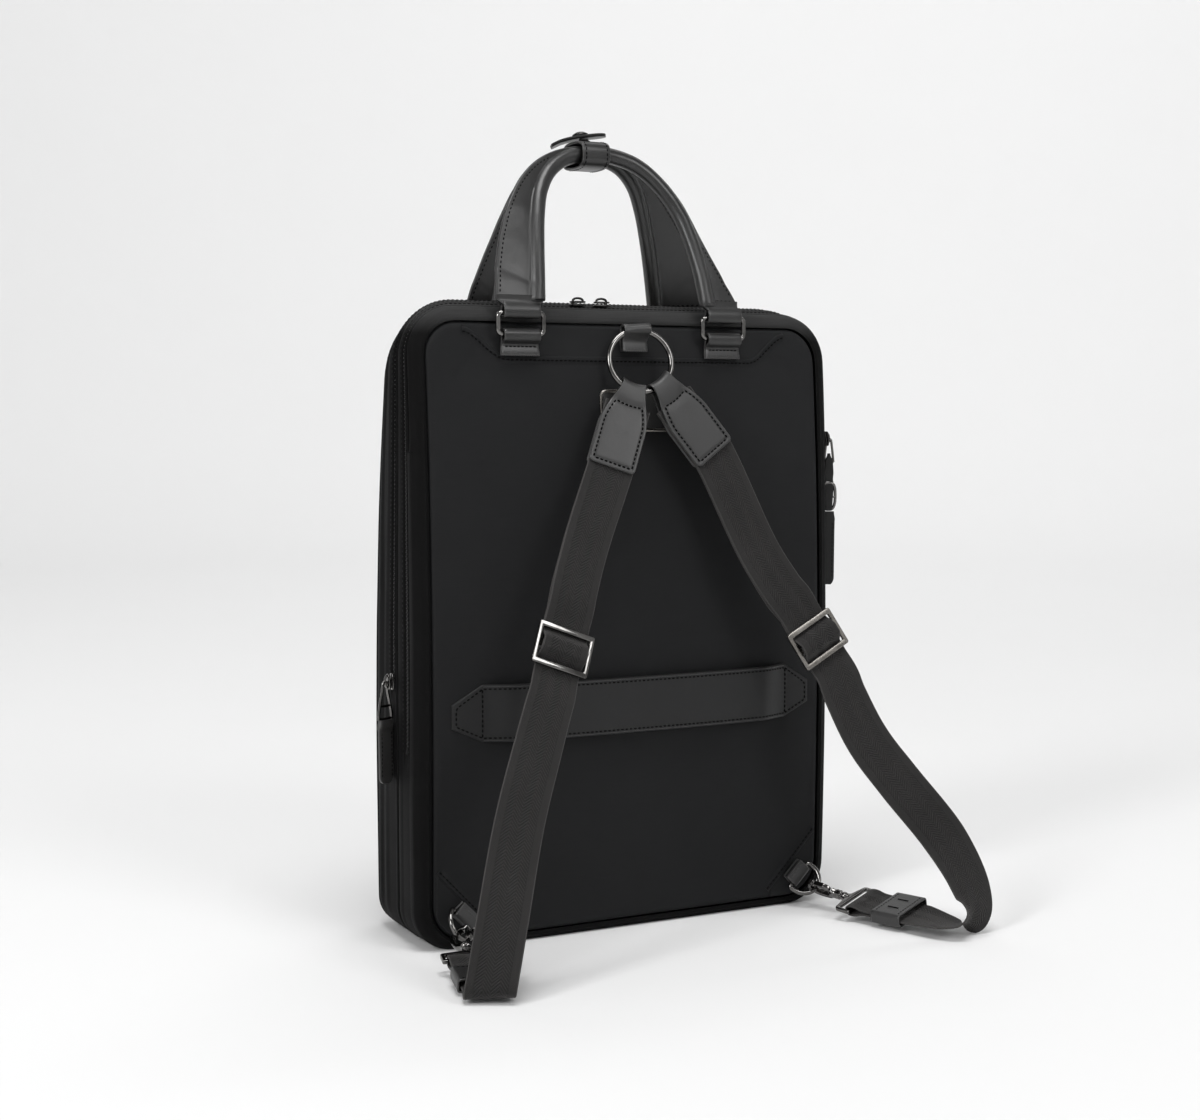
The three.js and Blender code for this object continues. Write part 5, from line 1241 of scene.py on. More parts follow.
def leather_tongue(name, node, base, out, start, length, width, thick=2.6, head=6.0, mat=None):
    """A zip pull: a folded, tapered strip of leather with a collar at its top and a stitched edge."""
    x, y, z = pull_axes(out)
    m = place(base, x, y, z)
    n = 46
    s = Soup()
    rows = []
    for i in range(n + 1):
        f = i / n
        v = start + length * f
        w = width / 2 * (0.86 + 0.20 * ease(f / 0.14) - 0.05 * f)
        if f > 0.9:
            w *= math.sqrt(max(0.05, 1 - ((f - 0.9) / 0.115) ** 2))
        th = thick / 2 * (1.15 - 0.25 * ease((f - 0.05) / 0.15))
        if v - start < head:
            th *= 1.22
            w *= 1.05
        bend = 0.5 * math.sin(f * 2.2)
        row = []
        for k in range(24):
            a = 2 * math.pi * k / 24
            c, q = math.cos(a), math.sin(a)
            p = 5.0
            g = (abs(c) ** p + abs(q) ** p) ** (-1 / p)
            row.append((w * c * g, v, th * q * g + bend))
        rows.append(row)
    G = move(np.array(rows), m)
    s.grid(G, wrap_u=True)
    s.fan(G[0]).fan(G[-1])
    o = s.make(name, mat or HIDE, replaces=node, slot="strap_leather", smooth=50)
    st = Soup()
    for sg in (-1, 1):
        P = np.stack([np.full(30, sg * (width / 2 - 1.5)), np.linspace(start + head + 1.5, start + length * 0.9, 30), np.full(30, 0.0)], -1)
        f = (P[:, 1] - start) / length
        for face in (-1, 1):
            Q = P.copy()
            Q[:, 2] = face * thick / 2 * 0.9 + 0.5 * np.sin(f * 2.2)
            stitch_into(st, move(Q, m), m[:3, 2] * face, pitch=2.6, length=1.9, radius=0.26)
    st.make(name + "_stitches", THREAD, slot="strap_leather")
    return o


# left pull: an A-shaped link and a leather tongue
_base = LEFT_AT + V(-3.6, 0, -6.6)
_x, _y, _z = pull_axes(V(-1, 0, 0))
_m = place(_base, _x, _y, _z)
_s = Soup()
bar(_s, [(-1.7, -4.4, 0), (-2.4, 0, 0), (-4.4, 8, 0), (-5.6, 15.2, 0), (-5.4, 17.4, 0)], 0.95, _m)
bar(_s, [(1.7, -4.4, 0), (2.4, 0, 0), (4.4, 8, 0), (5.6, 15.2, 0), (5.4, 17.4, 0)], 0.95, _m)
bar(_s, [(-1.8, -4.6, 0), (-1.1, -6.0, 0), (0, -6.5, 0), (1.1, -6.0, 0), (1.8, -4.6, 0)], 1.0, _m)
bar(_s, [(-4.2, 8.6, 0), (-2, 8.8, 0), (2, 8.8, 0), (4.2, 8.6, 0)], 0.85, _m)
bar(_s, [(-5.4, 16.6, 0), (-2, 16.9, 0), (2, 16.9, 0), (5.4, 16.6, 0)], 0.8, _m)
_s.make("left_link_metal", GUN, replaces="left_link", slot="gunmetal", weld=0)
# its leather is the paler copy, painted light on a pull that hangs in shade
leather_tongue("left_pull_leather", "left_pull", _base, V(-1, 0, 0), 17.6, 40.4, 11.5, mat=PULL_HIDE_PAINTED_LIGHT)

# right pull: leather tab, wire ring and a second leather tongue, in one hanging line
_base = RIGHT_AT + V(3.6, 0, -6.6)
_x, _y, _z = pull_axes(V(1, 0, 0))
_m = place(_base, _x, _y, _z)
_s = Soup()
bar(_s, [(-1.7, -4.6, 0), (-1.0, -6.0, 0), (0, -6.4, 0), (1.0, -6.0, 0), (1.7, -4.6, 0)], 0.9, _m)
for _sg in (-1, 1):
    bar(_s, [(_sg * 1.7, -4.6, 0), (_sg * 2.6, 3, 0), (_sg * 3.2, 9.5, 0)], 0.85, _m)
bar(_s, [(-3.2, 9.4, 0), (0, 9.8, 0), (3.2, 9.4, 0)], 0.8, _m)
# buckle frame
bar(_s, [(4.7 * math.copysign(abs(math.cos(a)) ** 0.62, math.cos(a)), 32.75 + 9.2 * math.copysign(abs(math.sin(a)) ** 0.72, math.sin(a)), 0.35 * math.sin(a)) for a in np.linspace(0, 2 * math.pi, 40, endpoint=False)], 1.05, _m, closed=True)
bar(_s, [(-4.2, 33.2, 0), (0, 33.2, 0), (4.2, 33.2, 0)], 0.85, _m)
_s.make("right_link_metal", GUN, replaces="right_link", slot="gunmetal", weld=0)
_s = Soup()
_rows = []
for _i in range(25):
    _f = _i / 24
    _v = 3.4 + 39.0 * _f
    _w = (2.7 + 0.95 * math.sin(_f * math.pi) ** 2 - 0.6 * math.exp(-((_v - 21.0) / 2.6) ** 2)) * (0.32 + 0.68 * float(ease((_v - 3.4) / 6.0)))
    _th = 1.25 - 0.25 * math.sin(_f * math.pi)
    _rows.append([(_w * math.copysign(abs(math.cos(a)) ** 0.4, math.cos(a)), _v, _th * math.copysign(abs(math.sin(a)) ** 0.4, math.sin(a))) for a in np.linspace(0, 2 * math.pi, 20, endpoint=False)])
_G = move(np.array(_rows), _m)
_s.grid(_G, wrap_u=True)
_s.fan(_G[0]).fan(_G[-1])
_s.make("right_link_leather", SMOOTH_DARK, slot="strap_leather", smooth=50)
leather_tongue("right_pull_leather", "right_pull", _base, V(1, 0, 0), 43.2, 50.4, 8.5, 2.4, mat=SMOOTH_DARK)

# ------------------------------------------------------------------ strips of leather and webbing
def cad_back(x, z):
    return np.interp(z, SIDE[:, 0], SIDE[:, 1]) - BELLY * (1 - reach(x, z, SEAM_HALF, SEAM_TOP, SEAM_BOTTOM) ** 2)


def cad_front(x, z):
    return np.interp(z, SIDE[:, 0], SIDE[:, 2]) + FRONT_BELLY * (1 - reach(x, z, FSEAM_HALF, FSEAM_TOP, FSEAM_BOTTOM) ** 2)


def section(width, thick, round_, across=10, edge_n=4, crown=0.0):
    """Closed loop of a strip: (a, b) pairs, flat faces with rounded edges, and which are edge faces."""
    w, h, r = width / 2, thick / 2, round_
    pts, edge = [], []
    for k in range(across + 1):
        a = -w + r + (2 * w - 2 * r) * k / across
        pts.append((a, h + crown * (1 - (a / w) ** 2)))
        edge.append(0)
    edge[-1] = 1
    for k in range(1, 2 * edge_n):
        t = math.pi / 2 - math.pi * k / (2 * edge_n)
        pts.append((w - r + r * math.cos(t), h * math.sin(t)))
        edge.append(1)
    for k in range(across + 1):
        a = w - r - (2 * w - 2 * r) * k / across
        pts.append((a, -h - crown * (1 - (a / w) ** 2)))
        edge.append(0)
    edge[-1] = 1
    for k in range(1, 2 * edge_n):
        t = -math.pi / 2 - math.pi * k / (2 * edge_n)
        pts.append((-w + r + r * math.cos(t), h * math.sin(t)))
        edge.append(1)
    return np.array(pts), np.array(edge)


def side_frames(P, S, closed=False):
    P, S = np.asarray(P, float), np.asarray(S, float)
    S = np.broadcast_to(S, P.shape)
    t = unit(np.roll(P, -1, 0) - np.roll(P, 1, 0)) if closed else unit(np.gradient(P, axis=0))
    s = unit(S - t * np.sum(S * t, axis=1, keepdims=True))
    return t, s, np.cross(t, s)


def ribbon(soup, P, S, width, thick, edge=0.6, across=10, crown=0.0, closed=False, mats=(0, 0), caps=True, edge_n=4, v0=0.0, waves=None):
    """A strip with rounded edges along P; S is its width direction."""
    P = np.asarray(P, float)
    t, s, n = side_frames(P, S, closed)
    W = np.broadcast_to(np.asarray(width, float), (len(P),))
    T = np.broadcast_to(np.asarray(thick, float), (len(P),))
    sec, em = section(2.0, 2.0, 2 * edge / max(W.mean(), 1e-6), across, edge_n)
    a = sec[:, 0][None] * W[:, None] / 2
    b = sec[:, 1][None] * T[:, None] / 2 + np.sign(sec[:, 1])[None] * crown * (1 - sec[:, 0][None] ** 2)
    if waves is not None:
        b = b + waves(a, np.arange(len(P))[:, None])
    G = P[:, None] + s[:, None] * a[:, :, None] + n[:, None] * b[:, :, None]
    d = np.linalg.norm(np.diff(P, axis=0, append=P[:1] if closed else P[-1:]), axis=1)
    v = v0 + np.concatenate([[0], np.cumsum(d)])
    ua = np.concatenate([a, a[:, :1]], 1)
    vv = np.broadcast_to(v[:len(P) + 1][:, None], (len(P) + 1, ua.shape[1])) if closed else np.broadcast_to(v[:len(P)][:, None], ua.shape)
    if closed:
        ua = np.concatenate([ua, ua[:1]], 0)
    m = np.where(em == 1, mats[1], mats[0])
    soup.grid(G, wrap_u=True, wrap_v=closed, uv=(ua, vv), mat=m)
    if caps and not closed:
        soup.fan(G[0], mat=mats[1]).fan(G[-1], mat=mats[1])
    return G, s, n


def along(P, S, a, b, closed=False):
    """A line beside a strip's centre: a across, b off its face."""
    t, s, n = side_frames(P, S, closed)
    return np.asarray(P) + s * a + n * b, n


def round_end(n, width, r, power=2.0):
    return None


# ------------------------------------------------------------------ handles
HD = dict(roll=5.0, flap=2.2, ringTop=397.4, ringLow=384.1, ringHalf=15.6)
RING_X = dict(back_left=-80.5, back_right=66.0, front_left=-74.0, front_right=68.5)
BACK_ROUTE = np.array([
    [-69, 405, 0.00, 23.5], [-67, 420, 0.12, 23.3], [-64, 440, 0.30, 21.2], [-60, 460, 0.50, 16.6], [-54, 477, 0.70, 10.8],
    [-44.5, 490.5, 0.86, 5.2], [-31, 499.5, 0.96, 1.2], [-14, 503, 1.0, 0.5], [4, 502.5, 1.0, 0.5], [21, 497, 0.95, 0.5],
    [34.5, 486, 0.86, 0.6], [45.2, 470, 0.70, 0.8], [51.2, 450, 0.48, 1.6], [53.6, 428, 0.24, 8.4], [54, 405, 0.00, 20]], float)
FRONT_ROUTE = np.array([
    [-64.5, 405, 0.00, 18], [-62.5, 420, 0.12, 14.8], [-60, 440, 0.30, 10], [-57, 460, 0.50, 5], [-52.5, 477, 0.70, 2],
    [-44, 490.5, 0.86, 0.7], [-31, 499.5, 0.96, 0.5], [-14, 503, 1.0, 0.5], [3, 502.5, 1.0, 0.5], [17, 497.5, 0.95, 2],
    [28, 487, 0.86, 7], [36, 471, 0.70, 13.5], [43, 450, 0.48, 23.5], [49, 428, 0.24, 29.5], [54.5, 405, 0.00, 33]], float)
TAB_CLEAR = RING_WIRE + GAP + LEATHER + GAP + 0.3
HBY = float(cad_back(64, 378)) - GAP - 0.9 - TAB_CLEAR
HFY = float(cad_front(64, 378)) + TAB_CLEAR
_crease = soft_field(41, 6, 22, 70)
_crease2 = soft_field(42, 6, 8, 24)


def handle(tag, ROUTE, base_y, top_y, seed):
    n = 190
    us = np.linspace(0, 1, n + 1)
    ctrl = np.stack([ROUTE[:, 0], base_y + (top_y - base_y) * ROUTE[:, 2], ROUTE[:, 1]], -1)
    P = catmull(ctrl, us)
    f = us * (len(ROUTE) - 1)
    R = np.interp(f, np.arange(len(ROUTE)), ROUTE[:, 3])
    # ease the reach so that the flap's edge is one flowing line
    k = np.exp(-0.5 * (np.arange(-12, 13) / 5.0) ** 2)
    k /= k.sum()
    R = np.convolve(np.pad(R, 12, mode="edge"), k, mode="valid")
    T = unit(np.gradient(P, axis=0))
    T[0], T[-1] = V(0, 0, 1), V(0, 0, -1)
    for i in range(1, 9):
        w = 1 - i / 9
        T[i] = unit(T[i] * (1 - w) + T[0] * w)
        T[-1 - i] = unit(T[-1 - i] * (1 - w) + T[-1] * w)
    O = unit(np.stack([-T[:, 2], 0 * T[:, 0], T[:, 0]], -1))
    A = unit(np.cross(O, T))
    r, h = HD["roll"], HD["flap"] / 2
    d = np.concatenate([[0], np.cumsum(np.linalg.norm(np.diff(P, axis=0), axis=1))])
    roll_a = -r * np.cos(np.linspace(0, math.pi * 0.90, 20))
    away = 1 if base_y < 0 else -1

    def lean(a, i):
        """How far the leather lies off its middle plane: soft folds, the outer edge
        falling back toward the bag, and a slanting crease above each foot."""
        dd = min(d[i], d[-1] - d[i])
        line = 12 + 0.32 * (a - 5)
        foot = 0.38 * np.exp(-((dd - line) / 2.7) ** 2) - 0.5 * ease((line - dd) / 12)
        foot = foot * ease((a + 1) / 6.0) * ease((R[i] - 3) / 4.0) * (1.0 if base_y < 0 else 0.25)
        dent = (0.30 * _crease(a + seed * 31, d[i]) + 0.08 * _crease2(a * 1.4, d[i] + seed * 17)) * ease((a + r) / 3.0)
        return 0.7 * dent + away * (foot + 0.0042 * np.maximum(0, a - r) ** 2)

    rows, uvu = [], []
    for i in range(n + 1):
        far = r + R[i]
        fl = np.linspace(0, 1, 22)[1:]
        fl = np.concatenate([fl[:-2], [0.94, 0.97, 0.985, 1.0]]) if R[i] > 3 else np.concatenate([fl[:-2], [0.94, 0.97, 0.985, 1.0]])
        a = np.concatenate([roll_a, roll_a[-1] + (far - roll_a[-1]) * fl])
        circ = np.sqrt(np.maximum(0, r * r - a * a))
        flap = h + 0.15 * np.exp(-((a - r - 4) / 4.0) ** 2)
        k4 = 2.8
        both = np.where(a > 0, np.maximum(circ, flap) + 0.25 * k4 * np.maximum(0, 1 - np.abs(circ - flap) / k4) ** 2, circ)
        e = far - a
        both = both * np.sqrt(np.maximum(0, 1 - np.clip(1 - e / 0.9, 0, 1) ** 2)) if R[i] > 1.0 else both * np.sqrt(np.maximum(0, 1 - np.clip(1 - e / 0.6, 0, 1) ** 2))
        endf = min(1.0, math.sqrt(max(0.0, 1 - max(0.0, 1 - min(i, n - i) * 0.8 / 1.0) ** 2)) + 0.55)
        both = both * min(1.0, endf)
        off = lean(a, i)
        up = both + off
        lo = -both + off
        top = P[i] + O[i] * a[:, None] + A[i] * up[:, None]
        bot = P[i] + O[i] * a[:, None] + A[i] * lo[:, None]
        rows.append(np.concatenate([top, bot[1:-1][::-1]]))
        uvu.append(np.concatenate([a, a[1:-1][::-1], a[:1]]))
    G = np.array(rows)
    s = Soup()
    U = np.array(uvu)
    s.grid(G, wrap_u=True, uv=(U, np.broadcast_to(d[:, None], U.shape)))
    s.fan(G[0], centre=G[0].mean(0)).fan(G[-1], centre=G[-1].mean(0))
    # folded strips below each leg, round the rings
    for sx in (-1, 1):
        rx = RING_X[tag + ("_left" if sx < 0 else "_right")]
        rt, rr = HD["ringTop"], RING_WIRE + GAP + LEATHER / 2
        c = [(-0.75, rt + 6.6), (-1.15, rt + 5.6), (-2.1, rt + 3.9), (-rr + 0.05, rt + 1.8)]
        for q in np.linspace(180, 360, 17):
            g = math.radians(q)
            c.append((rr * math.cos(g), rt + rr * math.sin(g)))
        c += [(rr - 0.05, rt + 1.8), (2.1, rt + 3.9), (1.15, rt + 5.6), (0.75, rt + 6.6)]
        c = np.array(c)
        L = resample(catmull(np.stack([np.full(len(c), rx), base_y + c[:, 0], c[:, 1]], -1), np.linspace(0, 1, 90)), step=0.7)
        ribbon(s, L, V(1, 0, 0), 25, LEATHER, edge=0.5, across=14, mats=(0, 1))
    # shoulders: each leg narrows to the strip that holds its ring
    for sx, i in ((-1, 0), (1, n)):
        rx = RING_X[tag + ("_left" if sx < 0 else "_right")]
        x_in, x_out = P[i, 0] - sx * (r - 0.6), P[i, 0] + sx * (r + R[i] - 0.3)
        zs = np.concatenate([np.linspace(408.5, 405, 5), np.linspace(404.2, 401.2, 10)])
        G2 = []
        for z in zs:
            q = float(ease((405.8 - z) / 4.6))
            a0, a1 = x_in + (rx - sx * 12.3 - x_in) * q, x_out + (rx + sx * 12.3 - x_out) * q
            mid_, hw = (a0 + a1) / 2, abs(a1 - a0) / 2
            sec2, _e = section(2 * hw, 2.3 + 1.9 * q, 0.8, 14, 4)
            fall = np.array([float(lean(np.array([abs((mid_ + k) - P[i, 0]) * (1 if sx * ((mid_ + k) - P[i, 0]) > 0 else -1)]), i)[0]) for k in sec2[:, 0]]) * (1 - q)
            G2.append(np.stack([mid_ + sec2[:, 0], base_y + sec2[:, 1] + fall, np.full(len(sec2), z)], -1))
        G2 = np.array(G2)
        UU = np.broadcast_to(np.concatenate([G2[0, :, 0], G2[0, :1, 0]])[None], (len(zs), G2.shape[1] + 1))
        s.grid(G2, wrap_u=True, uv=(UU, np.broadcast_to(zs[:, None], UU.shape)))
        s.fan(G2[0]).fan(G2[-1])
    s.make("handle_%s_leather" % tag, [SMOOTH, EDGE], replaces="handle_" + tag, slot="handle_leather", smooth=50)
    # stitches: along the flap's outer edge and across the foot of each leg
    st = Soup()
    for face in (-1, 1):
        for lo_i, hi_i in ((3, n // 2), (n // 2, n - 3)):
            idx = np.arange(lo_i, hi_i)
            idx = idx[R[idx] > 3.8]
            if len(idx) < 3:
                continue
            a = r + R[idx] - 2.8
            dent = np.array([float(lean(np.array([a[j]]), idx[j])[0]) for j in range(len(idx))])
            Q = P[idx] + O[idx] * a[:, None] + A[idx] * (face * (h + 0.04) + dent)[:, None]
            stitch_into(st, Q, A[idx] * face, pitch=3.2, length=2.1, radius=0.46)
        for i in (2, n - 2):
            a = np.linspace(r + 0.6, r + R[i] - 3.6, 14)
            Q = P[i] + O[i] * a[:, None] + A[i] * (face * (h + 0.08) + lean(a, i))[:, None]
            stitch_into(st, Q, A[i] * face, pitch=3.6, length=2.0, radius=0.50)
    st.make("handle_%s_stitches" % tag, THREAD, slot="handle_leather")


handle("back", BACK_ROUTE, HBY, -7.2, 1)
handle("front", FRONT_ROUTE, HFY, 5.6, 2)


def rect_loop(w, h, r, seg=8):
    out = []
    for sx, sy, a0 in ((1, -1, -90), (1, 1, 0), (-1, 1, 90), (-1, -1, 180)):
        for i in range(seg + 1):
            a = math.radians(a0 + 90 * i / seg)
            out.append((sx * (w / 2 - r) + r * math.cos(a), sy * (h / 2 - r) + r * math.sin(a)))
    return np.array(out)


def foot_y(x, half, z, surface, rise, sign):
    ys = [float(surface(a, z)) for a in (x - half, x, x + half)]
    return (min(ys) if sign < 0 else max(ys)) + sign * rise


def handle_hardware(tag, y, surface, rise, sign):
    x0 = RING_X[tag]
    mid, half = (HD["ringTop"] + HD["ringLow"]) / 2, (HD["ringTop"] - HD["ringLow"]) / 2
    c = rect_loop(HD["ringHalf"] * 2, half * 2, 2.9)
    L = resample(np.stack([x0 + c[:, 0], np.full(len(c), y), mid + c[:, 1]], -1), step=0.8, closed=True)
    s = Soup()
    s.grid(tube_rows(L, RING_WIRE, 14, closed=True, up=(0, 1, 0), keep_up=True), wrap_u=True, wrap_v=True)
    s.make("handle_ring_%s_metal" % tag, GUN, replaces="handle_ring_" + tag, slot="gunmetal", smooth=60)
    # tab: two leaves sewn down at the foot, folded over the ring's lower bar
    rr = RING_WIRE + GAP + LEATHER / 2
    zl = HD["ringLow"]
    f = lambda z, off: foot_y(x0, 13, z, surface, rise, sign) + sign * off
    pts = [(f(370.9, 2.5), 370.9), (f(374, 2.5), 374.0), (f(378, 2.55), 378.0), (y + sign * (rr * 0.86), zl - 2.6)]
    for q in np.linspace(0, 180, 17):
        g = math.radians(q)
        pts.append((y + sign * rr * math.cos(g), zl + rr * math.sin(g)))
    pts += [(y - sign * (rr * 0.9), zl - 2.4), (f(378, 0.8), 378.0), (f(374, 0.75), 374.0), (f(370.9, 0.75), 370.9)]
    pts = np.array(pts)
    L = resample(catmull(np.stack([np.full(len(pts), x0), pts[:, 0], pts[:, 1]], -1), np.linspace(0, 1, 110)), step=0.7)
    w = 25 + 1.0 * ease((378 - L[:, 2]) / 5.0)
    s = Soup()
    ribbon(s, L, V(1, 0, 0), w, LEATHER, edge=0.5, across=14, mats=(0, 1))
    s.make("handle_tab_%s_leather" % tag, [SMOOTH, EDGE], replaces="handle_tab_" + tag, slot="handle_leather", smooth=50)
    # close-set zigzag that holds the foot down
    st, sd = Soup(), Soup()
    k = 34
    xs = np.linspace(x0 - 12.2, x0 + 12.2, k)
    for i in range(k - 1):
        za, zb = (370.7, 373.9) if i % 2 else (373.9, 370.7)
        A_ = V(xs[i], f(za, 3.42), za)
        B_ = V(xs[i + 1], f(zb, 3.42), zb)
        stitch_into(st, np.array([A_, B_]), V(0, sign, 0), pitch=9, length=np.linalg.norm(B_ - A_) * 1.05, radius=0.26)
    for zz in (376.6,):
        Q = np.stack([np.linspace(x0 - 11, x0 + 11, 20), np.full(20, f(zz, 3.42)), np.full(20, zz)], -1)
        stitch_into(sd, Q, V(0, sign, 0), pitch=2.8, length=2.0, radius=0.42)
    st.make("handle_tab_%s_stitches" % tag, THREAD_GREY, slot="handle_leather")
    sd.make("handle_tab_%s_row" % tag, THREAD, slot="handle_leather")


for _tag, _y, _f, _r, _sg in (("back_left", HBY, cad_back, 1.7, -1), ("back_right", HBY, cad_back, 1.7, -1),
                              ("front_left", HFY, cad_front, 0.4, 1), ("front_right", HFY, cad_front, 0.4, 1)):
    handle_hardware(_tag, _y, _f, _r, _sg)

# Keeper: a wrap round both handles.
KP = dict(x=-12.0, wide=20.0, cy=-0.8, cz=502.6, hy=13.9, hz=7.3)


def keep_oval(x, grow, n=120):
    a = np.linspace(0, 2 * math.pi, n, endpoint=False)
    c, q = np.cos(a), np.sin(a)
    k = (np.abs(c) ** 3.2 + np.abs(q) ** 3.2) ** (-1 / 3.2)
    return np.stack([np.full(n, x), KP["cy"] + (KP["hy"] + grow) * c * k, KP["cz"] + (KP["hz"] + grow) * q * k], -1)


_s = Soup()
_O = resample(keep_oval(KP["x"], LEATHER / 2), step=0.8, closed=True)
ribbon(_s, _O, V(1, 0, 0), 20, LEATHER, edge=0.55, across=14, closed=True, mats=(0, 1), crown=0.12)
_s.make("handle_keeper_leather", [SMOOTH, EDGE], replaces="handle_keeper", slot="handle_leather", smooth=50)
_s = Soup()
for _a in (-7.6, 7.6):
    _Q = resample(keep_oval(KP["x"] + _a, LEATHER + 0.02), step=1.5, closed=True)
    _N = unit(_Q - V(KP["x"] + _a, KP["cy"], KP["cz"]))
    _Q = np.concatenate([_Q, _Q[:1]])
    stitch_into(_s, _Q, np.concatenate([_N, _N[:1]]), pitch=2.9, length=2.1, radius=0.40)
_s.make("handle_keeper_stitches", THREAD, slot="handle_leather")

# Snap tab on top of the keeper, with its stud and domed cap.
_TR = np.array([[-31, 12, 509.4], [-25, 9.6, 512.4], [-17, 5.0, 514.6], [-8.5, -0.5, 515.7], [0.5, -4.6, 516.6]], float)
_P = resample(catmull(_TR, np.linspace(0, 1, 60)), step=0.5)
_d = np.concatenate([[0], np.cumsum(np.linalg.norm(np.diff(_P, axis=0), axis=1))])
_w = 15.0 - 0 * _d
_e = np.minimum(_d, _d[-1] - _d)
_w = np.where(_d > _d[-1] / 2, 2 * np.sqrt(np.maximum(0.3, 7.5 ** 2 - np.maximum(0, 7.5 - (_d[-1] - _d)) ** 2)), 15.0)
_w = np.where(_d < 2.5, 15 - 3.2 * (1 - np.sqrt(np.maximum(0, 1 - (1 - _d / 2.5) ** 2))), _w)
_s = Soup()
ribbon(_s, _P, V(0.42, 0.9, 0), _w, LEATHER + 0.35, edge=0.6, across=12, mats=(0, 1))
_s.make("snap_tab_leather", [SMOOTH, SMOOTH_DARK], replaces="snap_tab", slot="handle_leather", smooth=50)
_s = Soup()
for _a in (-1, 1):
    _k = (_d > 3) & (_d < _d[-1] - 3.2)
    _PP = _P[_k]
    _t, _ss, _n = side_frames(_P, V(0.42, 0.9, 0))
    _up = np.where(_n[:, 2:3] < 0, -1, 1)
    _off = (_w / 2 - 2.0)[:, None] * _a
    _Q = (_P + _ss * _off + _n * _up * (LEATHER / 2))[_k]
    stitch_into(_s, _Q, (_n * _up)[_k], pitch=2.8, length=2.0, radius=0.30)
_s.make("snap_tab_stitches", THREAD, slot="handle_leather")


def lathe(name, prof, at, mat, node, slot, tilt=None, seg=40):
    a = np.linspace(0, 2 * math.pi, seg, endpoint=False)
    rows = np.array([[(max(r, 0.0005) * math.cos(q), max(r, 0.0005) * math.sin(q), z) for q in a] for r, z in prof])
    z = unit(V(*(tilt or (0, 0, 1))))
    x = unit(np.cross(V(0, 1, 0), z))
    s = Soup()
    s.grid(move(rows, place(V(*at), x, np.cross(z, x), z)), wrap_u=True)
    return s.make(name, mat, replaces=node, slot=slot, smooth=40)


lathe("snap_stud_metal", [(0, -0.85), (3.6, -0.85), (4.1, -0.7), (4.2, -0.4), (3.8, -0.1), (3.2, 0.1), (3.15, 0.6), (3.3, 0.85), (0, 0.85)], (-13, 0.6, 513.0), DARKMETAL, "snap_stud", "gunmetal")
lathe("snap_cap_metal", [(0, 0.0), (4.7, 0.0), (5.1, 0.12), (5.2, 0.4), (5.0, 0.75), (4.5, 0.95), (4.35, 0.9), (4.2, 1.0), (3.8, 1.35), (3.0, 1.75), (1.9, 2.1), (0.8, 2.27), (0, 2.3)], (-15, 2, 516.6), DARKMETAL, "snap_cap", "gunmetal", tilt=(-0.12, 0.05, 1))

# ------------------------------------------------------------------ centre ring
O_CENTRE = V(0, -53.2, 368.6)
O_UP = unit(V(0, 0.3, 0.954))
O_FLAT = V(0, -0.954, 0.3)
O_SIDE = unit(V(math.cos(0.2), 0, 0) + O_FLAT * math.sin(0.2))
O_NORMAL = unit(np.cross(O_SIDE, O_UP))
_a = np.linspace(0, 2 * math.pi, 120, endpoint=False)
_P = O_CENTRE + O_SIDE * (O_RADIUS * np.sin(_a))[:, None] + O_UP * (O_RADIUS * np.cos(_a))[:, None]
_s = Soup()
_s.grid(tube_rows(_P, O_WIRE, 24, closed=True, up=O_NORMAL, keep_up=True), wrap_u=True, wrap_v=True)
_s.make("o_ring_metal", GUN, replaces="o_ring", slot="gunmetal", smooth=60)

# its tab: two leaves sewn to the yoke, folded over the top of the ring
_top = O_CENTRE + O_UP * O_RADIUS
_rr = O_WIRE + GAP + 0.1 + LEATHER / 2
_fy = lambda z, off: foot_y(0, 8.9, z, cad_back, 1.7, -1) - off
_c = [(_fy(374.9, 3.9), 374.9), (_fy(378, 3.9), 378.0), (_fy(381.5, 3.95), 381.5)]
for _q in np.linspace(-25, 205, 23):
    _g = math.radians(_q)
    _f = _top - O_NORMAL * 0
    _p = _top + O_UP * (_rr * math.sin(_g)) + unit(V(0, O_NORMAL[1], O_NORMAL[2])) * (_rr * math.cos(_g)) * (1 if O_NORMAL[1] < 0 else -1)
    _c.append((_p[1], _p[2]))
_c += [(_fy(381.5, 0.9), 381.5), (_fy(378, 0.85), 378.0), (_fy(374.9, 0.85), 374.9)]
_c = np.array(_c)
_L = resample(catmull(np.stack([0 * _c[:, 0], _c[:, 0], _c[:, 1]], -1), np.linspace(0, 1, 130)), step=0.6)
_lean = ease((_L[:, 2] - 380) / 8.0)[:, None]
_s = Soup()
ribbon(_s, _L, V(1, 0, 0) * (1 - _lean) + O_SIDE * _lean, 18, LEATHER, edge=0.5, across=12, mats=(0, 1))
_s.make("o_ring_tab_leather", [SMOOTH, EDGE], replaces="o_ring_tab", slot="trim_leather", smooth=50)
_s = Soup()
for _z in (376.4,):
    _Q = np.stack([np.linspace(-7.6, 7.6, 14), np.full(14, _fy(_z, 3.9 + LEATHER / 2)), np.full(14, _z)], -1)
    stitch_into(_s, _Q, V(0, -1, 0), pitch=2.7, length=1.9, radius=0.32)
_k = 22
_xs = np.linspace(-8.2, 8.2, _k)
for _i in range(_k - 1):
    _za, _zb = (374.4, 375.6) if _i % 2 else (375.6, 374.4)
    _A, _B = V(_xs[_i], _fy(_za, 3.9 + LEATHER / 2), _za), V(_xs[_i + 1], _fy(_zb, 3.9 + LEATHER / 2), _zb)
    stitch_into(_s, np.array([_A, _B]), V(0, -1, 0), pitch=9, length=np.linalg.norm(_B - _A) * 1.05, radius=0.24)
_s.make("o_ring_tab_stitches", THREAD_GREY, slot="trim_leather")

